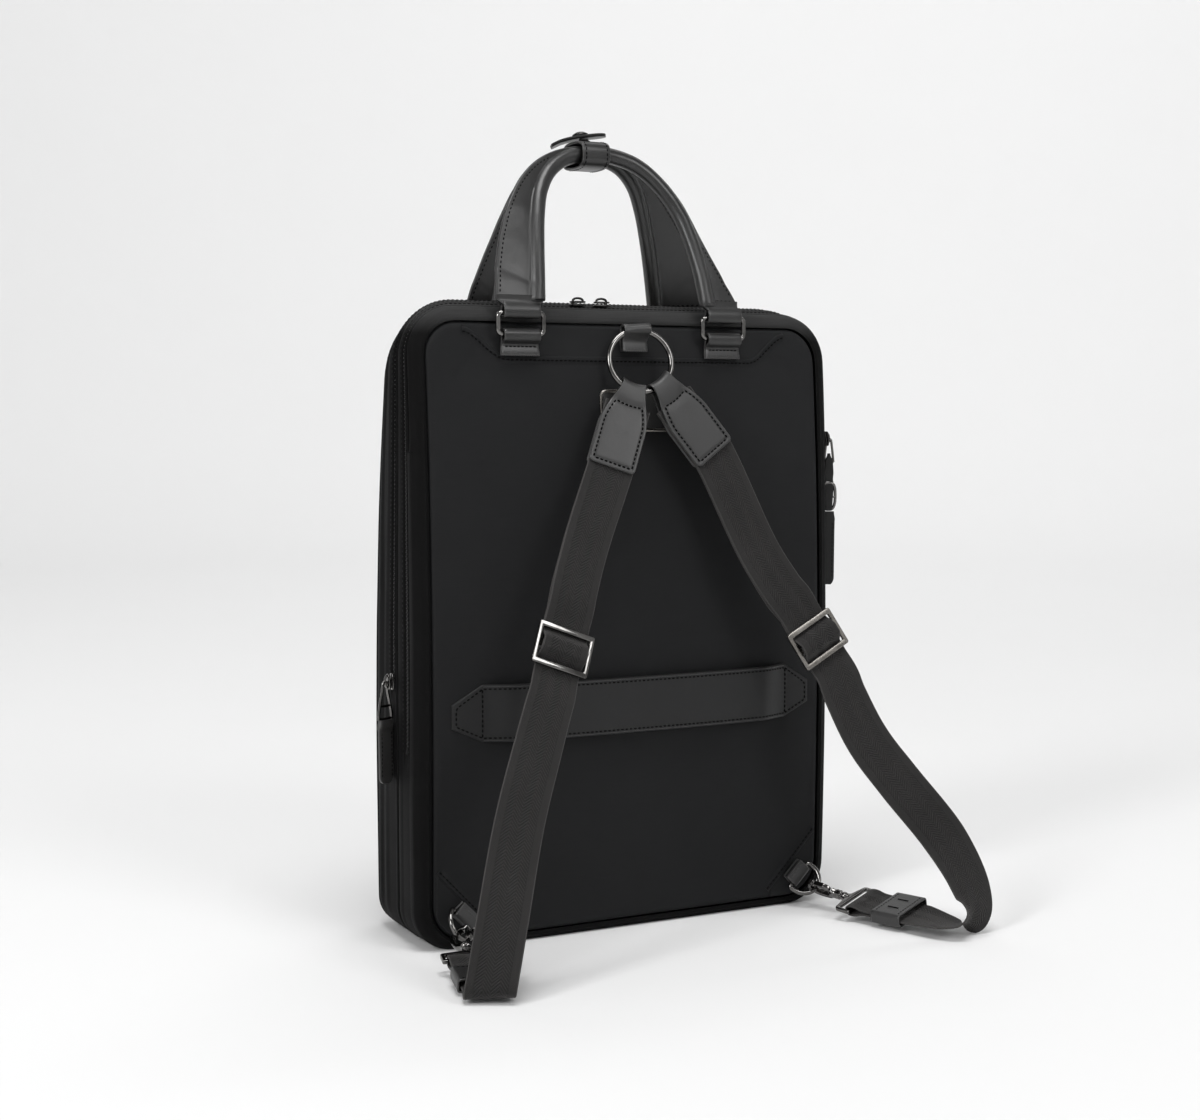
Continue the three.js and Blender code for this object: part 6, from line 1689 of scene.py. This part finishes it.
# ------------------------------------------------------------------ straps
END = dict(leaf=56.0, top=15.5, foot=31.0, hold=2.15)


def lerp3(P, d, dist):
    return np.stack([np.interp(d, dist, P[:, k]) for k in range(3)], -1)


def strap_end(tag, swing):
    swing = np.asarray(swing, float)
    d = unit(swing)
    base = O_CENTRE + unit(swing - O_NORMAL * np.dot(swing, O_NORMAL)) * O_RADIUS
    e = unit(np.cross(O_NORMAL, d))
    n = unit(np.cross(d, e))
    turn = O_WIRE + GAP + 0.6 + LEATHER / 2
    route = []
    us = np.concatenate([[56, 55.93, 55.75, 55.4, 54.9, 54.3, 53.6], np.arange(52.8, 3.5, -0.8)])
    route += [(u, -1, None) for u in us]
    route += [(None, None, a) for a in np.linspace(0, 180, 19)]
    route += [(u, 1, None) for u in us[::-1]]
    sec, em = section(2.0, 2.0, 0.06, 56, 4)
    rows, UU, VV, side_rows = [], [], [], []
    v = 0
    last = None
    for u, sd, a in route:
        if u is None:
            r = math.radians(a)
            al, lift, od = -turn * math.sin(r), -turn * math.cos(r), (-math.sin(r), -math.cos(r))
        else:
            al, od = u, (0, sd)
            lift = sd * (turn + (END["hold"] + LEATHER / 2 - turn) * float(ease((u - 2) / 16)))
        w = (END["top"] + (END["foot"] - END["top"]) * float(ease((al + 2) / 30))) / 2
        th = LEATHER / 2
        if u is not None and u > 54.6:
            th *= 0.45 + 0.55 * math.sqrt(max(0.0, 1 - ((u - 54.6) / 1.4) ** 2))
        if u is not None and u > 52.6:
            w -= 3.4 - math.sqrt(max(0.0, 3.4 ** 2 - (u - 52.6) ** 2))
        bow = 1 - float(ease((al - 2) / 24))
        A = sec[:, 0] * w
        B = sec[:, 1] * th
        sag = bow * (O_RADIUS - np.sqrt(np.maximum(0, O_RADIUS ** 2 - A * A)))
        # the leather dips between its stitched edges
        puff = 0.0
        if u is not None:
            rim = (END["top"] + (END["foot"] - END["top"]) * float(ease((al + 2) / 30))) / 2 - 2.7
            sewn = float(ease((al - 11.5) / 3))
            dome = np.sqrt(np.maximum(0, 1 - np.clip(np.abs(A) / rim, 0, 1) ** 4)) * (1 - float(ease((al - 50.5) / 2.8)))
            line = np.exp(-((np.abs(A) - rim) / 0.62) ** 2) * float(ease((al - 12) / 2)) * (1 - float(ease((al - 53.3) / 1.0)))
            line = np.maximum(line, math.exp(-((al - 12.6) / 0.8) ** 2) * (np.abs(A) < rim))
            line = np.maximum(line, math.exp(-((al - 53.2) / 0.62) ** 2) * (np.abs(A) < rim))
            pinch = math.exp(-((al - 12.6) / 3.2) ** 2)
            puff = (0.30 * sewn * dome - 0.26 * line - 0.55 * pinch) * od[1]
            puff = puff * (0.5 + 0.5 * sec[:, 1] / max(abs(sec[:, 1]).max(), 1e-6))
        p = base + d * (al - sag + od[0] * B)[:, None] + e * A[:, None] + n * (lift + od[1] * B + puff)[:, None]
        c = base + d * al + n * lift
        if last is not None:
            v += float(np.linalg.norm(c - last))
        last = c
        rows.append(p)
        UU.append(np.concatenate([A, A[:1]]))
        VV.append(np.full(len(A) + 1, v))
    G = np.array(rows)
    s = Soup()
    s.grid(G, wrap_u=True, uv=(np.array(UU), np.array(VV)), mat=np.where(em == 1, 1, 0))
    s.fan(G[0], mat=1).fan(G[-1], mat=1)
    s.make("strap_end_%s_leather" % tag, [HIDE, EDGE], replaces="strap_end_" + tag, slot="strap_leather", smooth=50)
    st = Soup()
    for sd in (-1, 1):
        def at(u, k):
            w = (END["top"] + (END["foot"] - END["top"]) * float(ease((u + 2) / 30))) / 2
            lift = sd * (turn + (END["hold"] + LEATHER / 2 - turn) * float(ease((u - 2) / 16)) + LEATHER / 2)
            bow = 1 - float(ease((u - 2) / 24))
            a = k * (w - 2.7)
            sag = bow * (O_RADIUS - math.sqrt(O_RADIUS ** 2 - a * a))
            lift -= sd * 0.55 * math.exp(-((u - 12.6) / 3.2) ** 2)
            return base + d * (u - sag) + e * a + n * lift
        us2 = np.linspace(12.6, 53.2, 40)
        for row in ([at(u, -1) for u in us2], [at(53.2, k) for k in np.linspace(-0.93, 0.93, 15)], [at(u, 1) for u in us2], [at(12.6, k) for k in np.linspace(-0.95, 0.95, 13)]):
            stitch_into(st, np.array(row), n * sd, pitch=3.05, length=2.05, radius=0.50)
    st.make("strap_end_%s_stitches" % tag, THREAD, slot="strap_leather")
    return base, d, e, n


LEFT_ROUTE = np.array([
    [-59.6, -87, 245.5, 0.93, -0.10, -0.33], [-81.5, -104, 190.5, 0.93, -0.12, -0.33], [-104.8, -121, 141.6, 0.95, -0.20, -0.22],
    [-124.2, -135, 99.6, 0.95, -0.25, -0.15], [-142.4, -150, 46.6, 0.90, -0.40, -0.05], [-151.5, -157, 18, 0.86, -0.50, 0],
    [-154.2, -158.4, 8, 0.88, -0.46, 0], [-152.6, -153.5, 3.4, 0.94, -0.34, 0]], float)
RIGHT_ROUTE = np.array([
    [76.6, -80, 240.3, 0.915, 0, 0.40], [113, -92, 185.4, 0.915, 0, 0.40], [136.2, -112, 124.5, 0.93, -0.25, 0.25],
    [153.3, -124, 96.6, 0.92, -0.32, 0.2], [178, -142, 58.9, 0.92, -0.36, 0.1], [186, -158, 31.3, 0.97, -0.10, 0.0],
    [183.5, -166.5, 17, 0.95, 0.15, -0.1], [176, -168.5, 9.6, 0.88, 0.38, -0.16], [168, -161, 8.2, 0.88, 0.42, -0.02]], float)
SLIDE = dict(wide=37.0, high=27.0, bar=3.5, thick=2.6)


def build_strap(tag, swing, route, slide_row, tail_way, bar_at, bar_side, metal):
    base, ed, ee, en = strap_end(tag, swing)
    S = np.asarray(bar_side, float)
    T = unit(-np.asarray(tail_way, float) + S * np.dot(tail_way, S))
    N = np.cross(T, S)
    flip = -1 if N[2] < 0 else 1
    tail = lambda u, v: bar_at + T * u + N * (v * flip)
    low = -0.97
    keys = [(base + ed * u, ee) for u in (12, 30, 52)]
    keys += [(r[:3], unit(r[3:])) for r in route]
    keys += [(tail(u, low), S) for u in (-44, -36, -28, -20)]
    KP_ = np.array([k[0] for k in keys])
    KS = np.array([k[1] for k in keys])
    m = len(keys) - 1
    NS = 880
    us = np.linspace(0, 1, NS + 1)
    pts = catmull(KP_, us)
    f = us * m
    k0 = np.minimum(m - 1, np.floor(f).astype(int))
    fr = (f - k0)[:, None]
    sides = unit(KS[k0] * (1 - fr) + KS[k0 + 1] * fr)
    dist = np.concatenate([[0], np.cumsum(np.linalg.norm(np.diff(pts, axis=0), axis=1))])
    t = unit(np.gradient(pts, axis=0))
    sq = unit(sides - t * np.sum(sides * t, axis=1, keepdims=True))
    nor = unit(np.cross(t, sq))
    target = route[slide_row][:3]
    at = 8 * int(np.argmin(np.linalg.norm(pts[::8] - target, axis=1)))
    to_view = 1 if nor[at][1] < 0 else -1
    pitch = (SLIDE["high"] - SLIDE["bar"]) / 2
    behind = -(SLIDE["thick"] / 2 + GAP + WEB_T / 2)
    ahead = SLIDE["thick"] / 2 + GAP + WEB_T + GAP + WEB_T / 2

    def weave(d):
        a = np.abs(d)
        return np.where(a <= pitch, ahead + (behind - ahead) * ease((a - 2.4) / (pitch - 4.2)), behind * (1 - ease((a - pitch - 4) / 18)))
    d0, total = dist[at], dist[-1]
    cP = pts[at]
    cT = unit(pts[at + 8] - pts[at - 8])
    cS = unit(sides[at] - cT * np.dot(sides[at], cT))
    cN = np.cross(cT, cS)

    def calm(d):
        p, s, n = lerp3(pts, d, dist), unit(lerp3(sides, d, dist)), unit(lerp3(nor, d, dist))
        w = (1 - ease((np.abs(d - d0) - 18) / 22))[:, None]
        p = p * (1 - w) + (cP + cT * (d - d0)[:, None]) * w
        return p, unit(s * (1 - w) + cS * w), unit(n * (1 - w) + cN * w)
    D = np.concatenate([np.arange(0, d0 - 32, 1.6), np.arange(d0 - 32, d0 + 32, 0.6), np.arange(d0 + 32, total - 0.6, 1.4), [total]])
    p, s, n = calm(D)
    front = 1.0 * (1 - ease((D - (d0 - 60)) / 40)) * (D < d0)
    off = np.where(np.abs(D - d0) < 36, weave(D - d0), 0)
    run = p + n * (to_view * (front + off))[:, None]
    side = s
    R = 1.95 + GAP + WEB_T / 2
    extra = [tail(u, v) for u, v in ((-20, low), (-13, low - 0.1), (-8, low - 0.7), (-4, -R + 0.2))]
    for a in range(-90, 91, 15):
        r = math.radians(a)
        extra.append(tail(R * math.cos(r), R * math.sin(r)))
    extra += [tail(u, v) for u, v in ((-4, R - 0.2), (-8, -low + 0.7), (-13, -low + 0.1), (-20, -low), (-26, -low), (-33, -low))]
    ex = resample(catmull(np.array(extra), np.linspace(0, 1, 220)), step=0.7)
    run = np.concatenate([run, ex[1:]])
    side = np.concatenate([side, np.broadcast_to(S, ex[1:].shape)])
    # soften the joins
    for _ in range(3):
        run[1:-1] = run[1:-1] * 0.6 + (run[:-2] + run[2:]) * 0.2
    s_ = Soup()
    rs = np.random.RandomState(5 if tag == "left" else 6)
    ph = rs.uniform(0, 6, 4)
    L = np.concatenate([[0], np.cumsum(np.linalg.norm(np.diff(run, axis=0), axis=1))])

    def lie(a, i):
        q = L[i]
        return 0.22 * np.sin(q / 23.0 + a * 0.08 + ph[0]) * (np.abs(a) / 15.0) + 0.10 * np.sin(q / 9.0 + a * 0.2 + ph[1]) * (a / 15.0) ** 2
    live = ease((np.abs(L - d0) - 30) / 20) * ease((L[-1] - 90 - L) / 30) * ease(L / 50 - 1.1)
    ribbon(s_, run, side, WEB_W, WEB_T, edge=0.7, across=16, mats=(0, 1), waves=lambda a, i: lie(a, i) * live[i], crown=-0.05)
    s_.make("strap_%s_webbing" % tag, [WEB, WEB_EDGE], replaces="strap_" + tag, slot="webbing", smooth=60)

    # fixed layer: behind, sewn round the slide's centre bar
    D = np.arange(0, d0 - 22, 1.6)
    p, s, n = calm(D)
    fix = p - n * (to_view * (1.0 + 2.6 * ease((D - (d0 - 60)) / 34)))[:, None]
    back_off = behind - WEB_T - GAP
    loc = lambda a, b: cP + cT * a + cN * (b * to_view)
    ext = [loc(a, b) for a, b in ((-18, back_off - 0.2), (-pitch, back_off), (-pitch + 3.5, back_off + 0.3), (-4.6, behind + 0.1), (-1.75, behind), (1.5, behind + 0.1),
                                  (2.75, behind * 0.62), (3.05, 0), (2.75, -behind * 0.62), (1.5, -behind - 0.05), (-1.4, -behind))]
    ex = resample(catmull(np.array([fix[-1]] + ext), np.linspace(0, 1, 160)), step=0.6)
    run2 = np.concatenate([fix, ex[1:]])
    side2 = np.concatenate([s, np.broadcast_to(cS, ex[1:].shape)])
    s_ = Soup()
    ribbon(s_, run2, side2, WEB_W - 0.6, WEB_T, edge=0.7, across=14, mats=(0, 1), crown=-0.05)
    s_.make("strap_fixed_%s_webbing" % tag, [WEB, WEB_EDGE], replaces="strap_fixed_" + tag, slot="webbing", smooth=60)

    # slide: a bevelled frame with a centre bar
    win = (SLIDE["high"] - 3 * SLIDE["bar"]) / 2
    step = (win + SLIDE["bar"]) / 2
    z = np.cross(cS, cT)
    mm = place(cP, cS, cT, z)
    hole = lambda cy: [(a, b + cy) for a, b in rect_loop(WEB_W + 1.6, win, 0.9, 4)][::-1]
    plate("slide_%s_metal" % tag, [tuple(q) for q in rect_loop(SLIDE["wide"], SLIDE["high"], 1.6, 5)], SLIDE["thick"], mm, metal, holes=[hole(step), hole(-step)],
          bevel=0.5, res=3, replaces="slide_" + tag, smooth=35)

    # leather keeper round the two layers below the hook
    kw, kt, lt = WEB_W / 2 + GAP + 0.2, 1.9 + WEB_T / 2 + GAP - 0.15, 1.4
    q = rect_loop(2 * kw + lt, 2 * kt + lt, 1.5, 5)
    loop = resample(np.stack([q[:, 0], q[:, 1], 0 * q[:, 0]], -1), step=0.8, closed=True)
    Q = bar_at + T * (-29) + S * loop[:, :1] + N * loop[:, 1:2]
    s_ = Soup()
    ribbon(s_, Q, T, 22, lt, edge=0.5, across=12, closed=True, mats=(0, 1), crown=0.05)
    s_.make("keeper_%s_leather" % tag, [HIDE, EDGE], replaces="keeper_" + tag, slot="strap_leather", smooth=50)
    st = Soup()
    for sgn in (-1, 1):
        nn = N * sgn
        for uu in (-37.4, -20.6):
            A = np.array([bar_at + T * uu + S * a + nn * (kt + lt) for a in np.linspace(-kw + 1.5, kw - 1.5, 14)])
            stitch_into(st, A, nn, pitch=2.8, length=2.0, radius=0.30)
        for a in (-6.0, 6.0):
            A = np.array([bar_at + T * u + S * a + nn * (kt + lt + 0.02) for u in np.linspace(-33, -25, 6)])
            st.grid(tube_rows(A, 0.55, 8, up=nn), wrap_u=True)
    st.make("keeper_%s_stitches" % tag, THREAD, slot="strap_leather")

# ------------------------------------------------------------------ hooks and corner rings
HK = dict(thick=4.0, bar=1.4, barHalf=18.2, reachBar=38.0, eye=2.6)


def hook(tag, tip, axis, across, bar_side):
    x, y, z = axes(axis, across)
    nose = tip - x * 0.5
    M = place(nose, x, y, z)
    b0 = 1.2
    out = []
    for i in range(17):
        t = math.pi / 2 + math.pi * i / 16
        out.append((0.9 + 7.6 * math.cos(t) * 0.82, b0 + 7.6 * math.sin(t)))
    body = [(0.9, b0 + 7.6)] + out[1:-1] + [
        (0.9, b0 - 7.6), (11, b0 - 7.0), (16, b0 - 4.2), (17.5, b0 - 3.2), (22, b0 - 3.2), (22, b0 + 3.2), (17.5, b0 + 3.2),
        (14.6, b0 + 4.2), (14.6, b0 + 1.6), (12.4, b0 + 0.4), (10.5, b0 - 3.8), (1.5, b0 - 4.4), (-1.6, b0 - 2.8), (-2.4, b0), (-1.6, b0 + 2.8), (0.9, b0 + 4.4)]
    rad = [0.5] + [2.0] * 15 + [2.5, 3.0, 2.0, 1.2, 0.6, 0.6, 1.2, 0.7, 0.8, 1.5, 2.2, 2.5, 2.0, 2.0, 2.0, 0.5]
    parts = [plate("hk", round_corners(body, rad, 4), HK["thick"], M, GUN, bevel=1.05, res=3)]
    # a sunk line along the hook's back, drawn as a raised line of dark metal that is painted shade for the groove, and
    # the collar it turns in
    s = Soup()
    c = place(nose + y * b0, x, y, z)
    prof = [(16.6, 1.2), (16.9, 2.9), (17.3, 3.25), (18.4, 3.3), (18.7, 2.95), (19.2, 2.9), (19.5, 3.25), (20.6, 3.3), (21.0, 3.0), (21.3, 2.3), (22.0, 2.2), (22.6, 1.8), (22.7, 0.01)]
    a = np.linspace(0, 2 * math.pi, 26, endpoint=False)
    rows = np.array([[(u, r * math.cos(q), r * math.sin(q)) for q in a] for u, r in [(16.5, 0.01)] + prof])
    s.grid(move(rows, c), wrap_u=True)
    for sg in (-1, 1):
        path = catmull(np.array([(12.8, b0 - 5.0, 0), (8, b0 - 5.9, 0), (2.6, b0 - 6.1, 0), (-2.2, b0 - 4.6, 0), (-4.2, b0 - 1, 0), (-4.1, b0 + 2.2, 0)]), np.linspace(0, 1, 40))
        path[:, 2] = sg * (HK["thick"] / 2 - 0.02)
        s.grid(move(tube_rows(path, 0.42, 8, up=(0, 0, 1), flat=0.6), M), wrap_u=True, mat=1)
        s.fan(move(tube_rows(path, 0.42, 8, up=(0, 0, 1), flat=0.6), M)[0], mat=1)
        s.fan(move(tube_rows(path, 0.42, 8, up=(0, 0, 1), flat=0.6), M)[-1], mat=1)
    parts.append(s.make("hk2", [GUN, DARKMETAL]))
    merge("hook_%s_metal" % tag, parts, replaces="hook_" + tag)
    gate = [(1.9, b0 + 4.6), (11.2, b0 + 2.6), (13.7, b0 + 2.6), (14.0, b0 + 4.8), (12.4, b0 + 6.4), (9.5, b0 + 7.9), (7.4, b0 + 7.3), (1.9, b0 + 7.2)]
    g = plate("gt", round_corners(gate, [0.8, 1.0, 0.8, 1.0, 1.0, 1.3, 0.8, 0.8], 4), 3.2, M, GUN, bevel=0.6, res=3, body="gate_lever_" + tag)
    s = Soup()
    pin = np.array([[(12.6, b0 + 3.9, zz + 0) for _ in range(1)] for zz in (0,)])
    rows = []
    for zz, r in ((-1.72, 0.01), (-1.72, 0.65), (-1.6, 0.75), (1.6, 0.75), (1.72, 0.65), (1.72, 0.01)):
        rows.append([(12.6 + r * math.cos(q), b0 + 3.9 + r * math.sin(q), zz) for q in a])
    s.grid(move(np.array(rows), M), wrap_u=True)
    # thumb piece: three raised ridges
    for k in range(3):
        u = 8.6 + k * 1.1
        rb = np.array([(u, b0 + 7.0 - 0.5 * k, zz) for zz in np.linspace(-1.35, 1.35, 5)])
        s.grid(move(tube_rows(rb, 0.34, 8, up=(0, 1, 0)), M), wrap_u=True)
    g2 = s.make("gt2", DARKMETAL, body="gate_lever_" + tag)
    merge("gate_%s_metal" % tag, [g, g2], replaces="gate_" + tag, body="gate_lever_" + tag)
    # swivel eye: collar, two arms and the bar that holds the webbing
    S = unit(bar_side - x * np.dot(bar_side, x))
    E = place(nose + y * b0, x, S, np.cross(x, S))
    h, e = HK["barHalf"], HK["reachBar"]
    outer = [(22.6, -3.4), (26, -3.6), (28.4, -h), (e + HK["bar"], -h), (e + HK["bar"], h), (28.4, h), (26, 3.6), (22.6, 3.4)]
    inner = [(30.6, -h + 2.5), (30.6, h - 2.5), (e - HK["bar"], h - 2.5), (e - HK["bar"], -h + 2.5)]
    p1 = plate("sw", round_corners(outer, [0.8, 2.5, 2.4, 1.2, 1.2, 2.4, 2.5, 0.8], 4), HK["eye"], E, GUN, holes=[round_corners(inner, 1.0, 3)[::-1]], bevel=0.75, res=3)
    s = Soup()
    rows = np.array([[(u, r * math.cos(q), r * math.sin(q)) for q in a] for u, r in ((22.9, 0.01), (22.9, 2.6), (23.2, 3.1), (24.6, 3.15), (25.4, 2.8), (26.4, 2.2), (27.2, 1.9), (27.4, 0.01))])
    s.grid(move(rows, E), wrap_u=True)
    p2 = s.make("sw2", GUN)
    merge("swivel_%s_metal" % tag, [p1, p2], replaces="swivel_" + tag)
    return nose + y * b0 + x * e, S


DR = dict(seat=121.5, seatZ=24.5, half=10.5, reach=15.0)


def corner_ring(tag, sx):
    al = V(sx * 0.707, 0, 0.707)
    ow = V(sx * 0.707, 0, -0.707)
    seat = V(sx * DR["seat"], float(cad_back(DR["seat"], DR["seatZ"])) - 1.0 - GAP - 4.6, DR["seatZ"]) + ow * 4
    lean = unit(ow * 0.72 + V(0, -0.69, 0))
    pts = [seat + al * (-DR["half"] + 2 * DR["half"] * i / 24) for i in range(25)]
    for i in range(1, 48):
        a = math.pi * i / 48
        pts.append(seat + al * (DR["half"] * math.cos(a)) + lean * (3.2 * min(1, math.sin(a) * 6) + (DR["reach"] - 3.2) * math.sin(a)))
    L = resample(np.array(pts), step=0.8, closed=True)
    for _ in range(3):
        L = L * 0.5 + (np.roll(L, 1, 0) + np.roll(L, -1, 0)) * 0.25
    s = Soup()
    s.grid(tube_rows(L, D_WIRE, 14, closed=True, up=np.cross(al, lean), keep_up=True), wrap_u=True, wrap_v=True)
    s.make("d_ring_%s_metal" % tag, GUN, replaces="d_ring_" + tag, slot="gunmetal", smooth=60)
    # a folded leather loop that holds the ring, sewn into the diagonal seam
    rr = D_WIRE + GAP + LEATHER / 2
    z = np.cross(np.cross(ow, al), ow)
    m = place(seat, np.cross(ow, al), ow, al)
    c = [(-1.6, -7.6), (-1.9, -5.2), (-rr + 0.25, -2.4)] + [(rr * math.cos(math.radians(q)), rr * math.sin(math.radians(q))) for q in np.linspace(180, 0, 17)] + [(rr - 0.25, -2.4), (1.9, -5.2), (1.6, -7.6)]
    c = np.array(c)
    P = resample(catmull(np.stack([c[:, 0], c[:, 1], 0 * c[:, 0]], -1), np.linspace(0, 1, 90)), step=0.6)
    s = Soup()
    ribbon(s, move(P, m), al, 15.5, LEATHER, edge=0.5, across=12, mats=(0, 1))
    s.make("d_tab_%s_leather" % tag, [HIDE, EDGE], replaces="d_tab_" + tag, slot="trim_leather", smooth=50)
    st = Soup()
    for sgn in (-1, 1):
        Q = np.array([(sgn * (1.95 + LEATHER / 2), -5.2, a) for a in np.linspace(-6.2, 6.2, 10)])
        stitch_into(st, move(Q, m), m[:3, 0] * sgn, pitch=2.6, length=1.9, radius=0.30)
    st.make("d_tab_%s_stitches" % tag, THREAD_GREY, slot="trim_leather")
    return seat + lean * DR["reach"], al, lean


for _k in (dict(tag="left", s=-1, swing=V(-0.403, -0.225, -0.886), route=LEFT_ROUTE, row=1, bar=V(-139.5, -97, 9.2), side=V(0.97, -0.2, 0), way=V(-0.14, -0.98, -0.09), metal=GUN),
           dict(tag="right", s=1, swing=V(0.588, -0.177, -0.789), route=RIGHT_ROUTE, row=1, bar=V(146, -98, 9.6), side=V(0.92, 0.22, 0.18), way=V(0.22, -0.97, -0.03), metal=SATIN)):
    _tip, _al, _lean = corner_ring(_k["tag"], _k["s"])
    _axis = unit(_k["bar"] - _tip)
    _across = unit(np.cross(_al, _axis))
    if _across[2] < 0:
        _across = -_across
    _bar, _side = hook(_k["tag"], _tip, _axis, _across, _k["side"])
    build_strap(_k["tag"], _k["swing"], _k["route"], _k["row"], _k["way"], _bar, _side, _k["metal"])
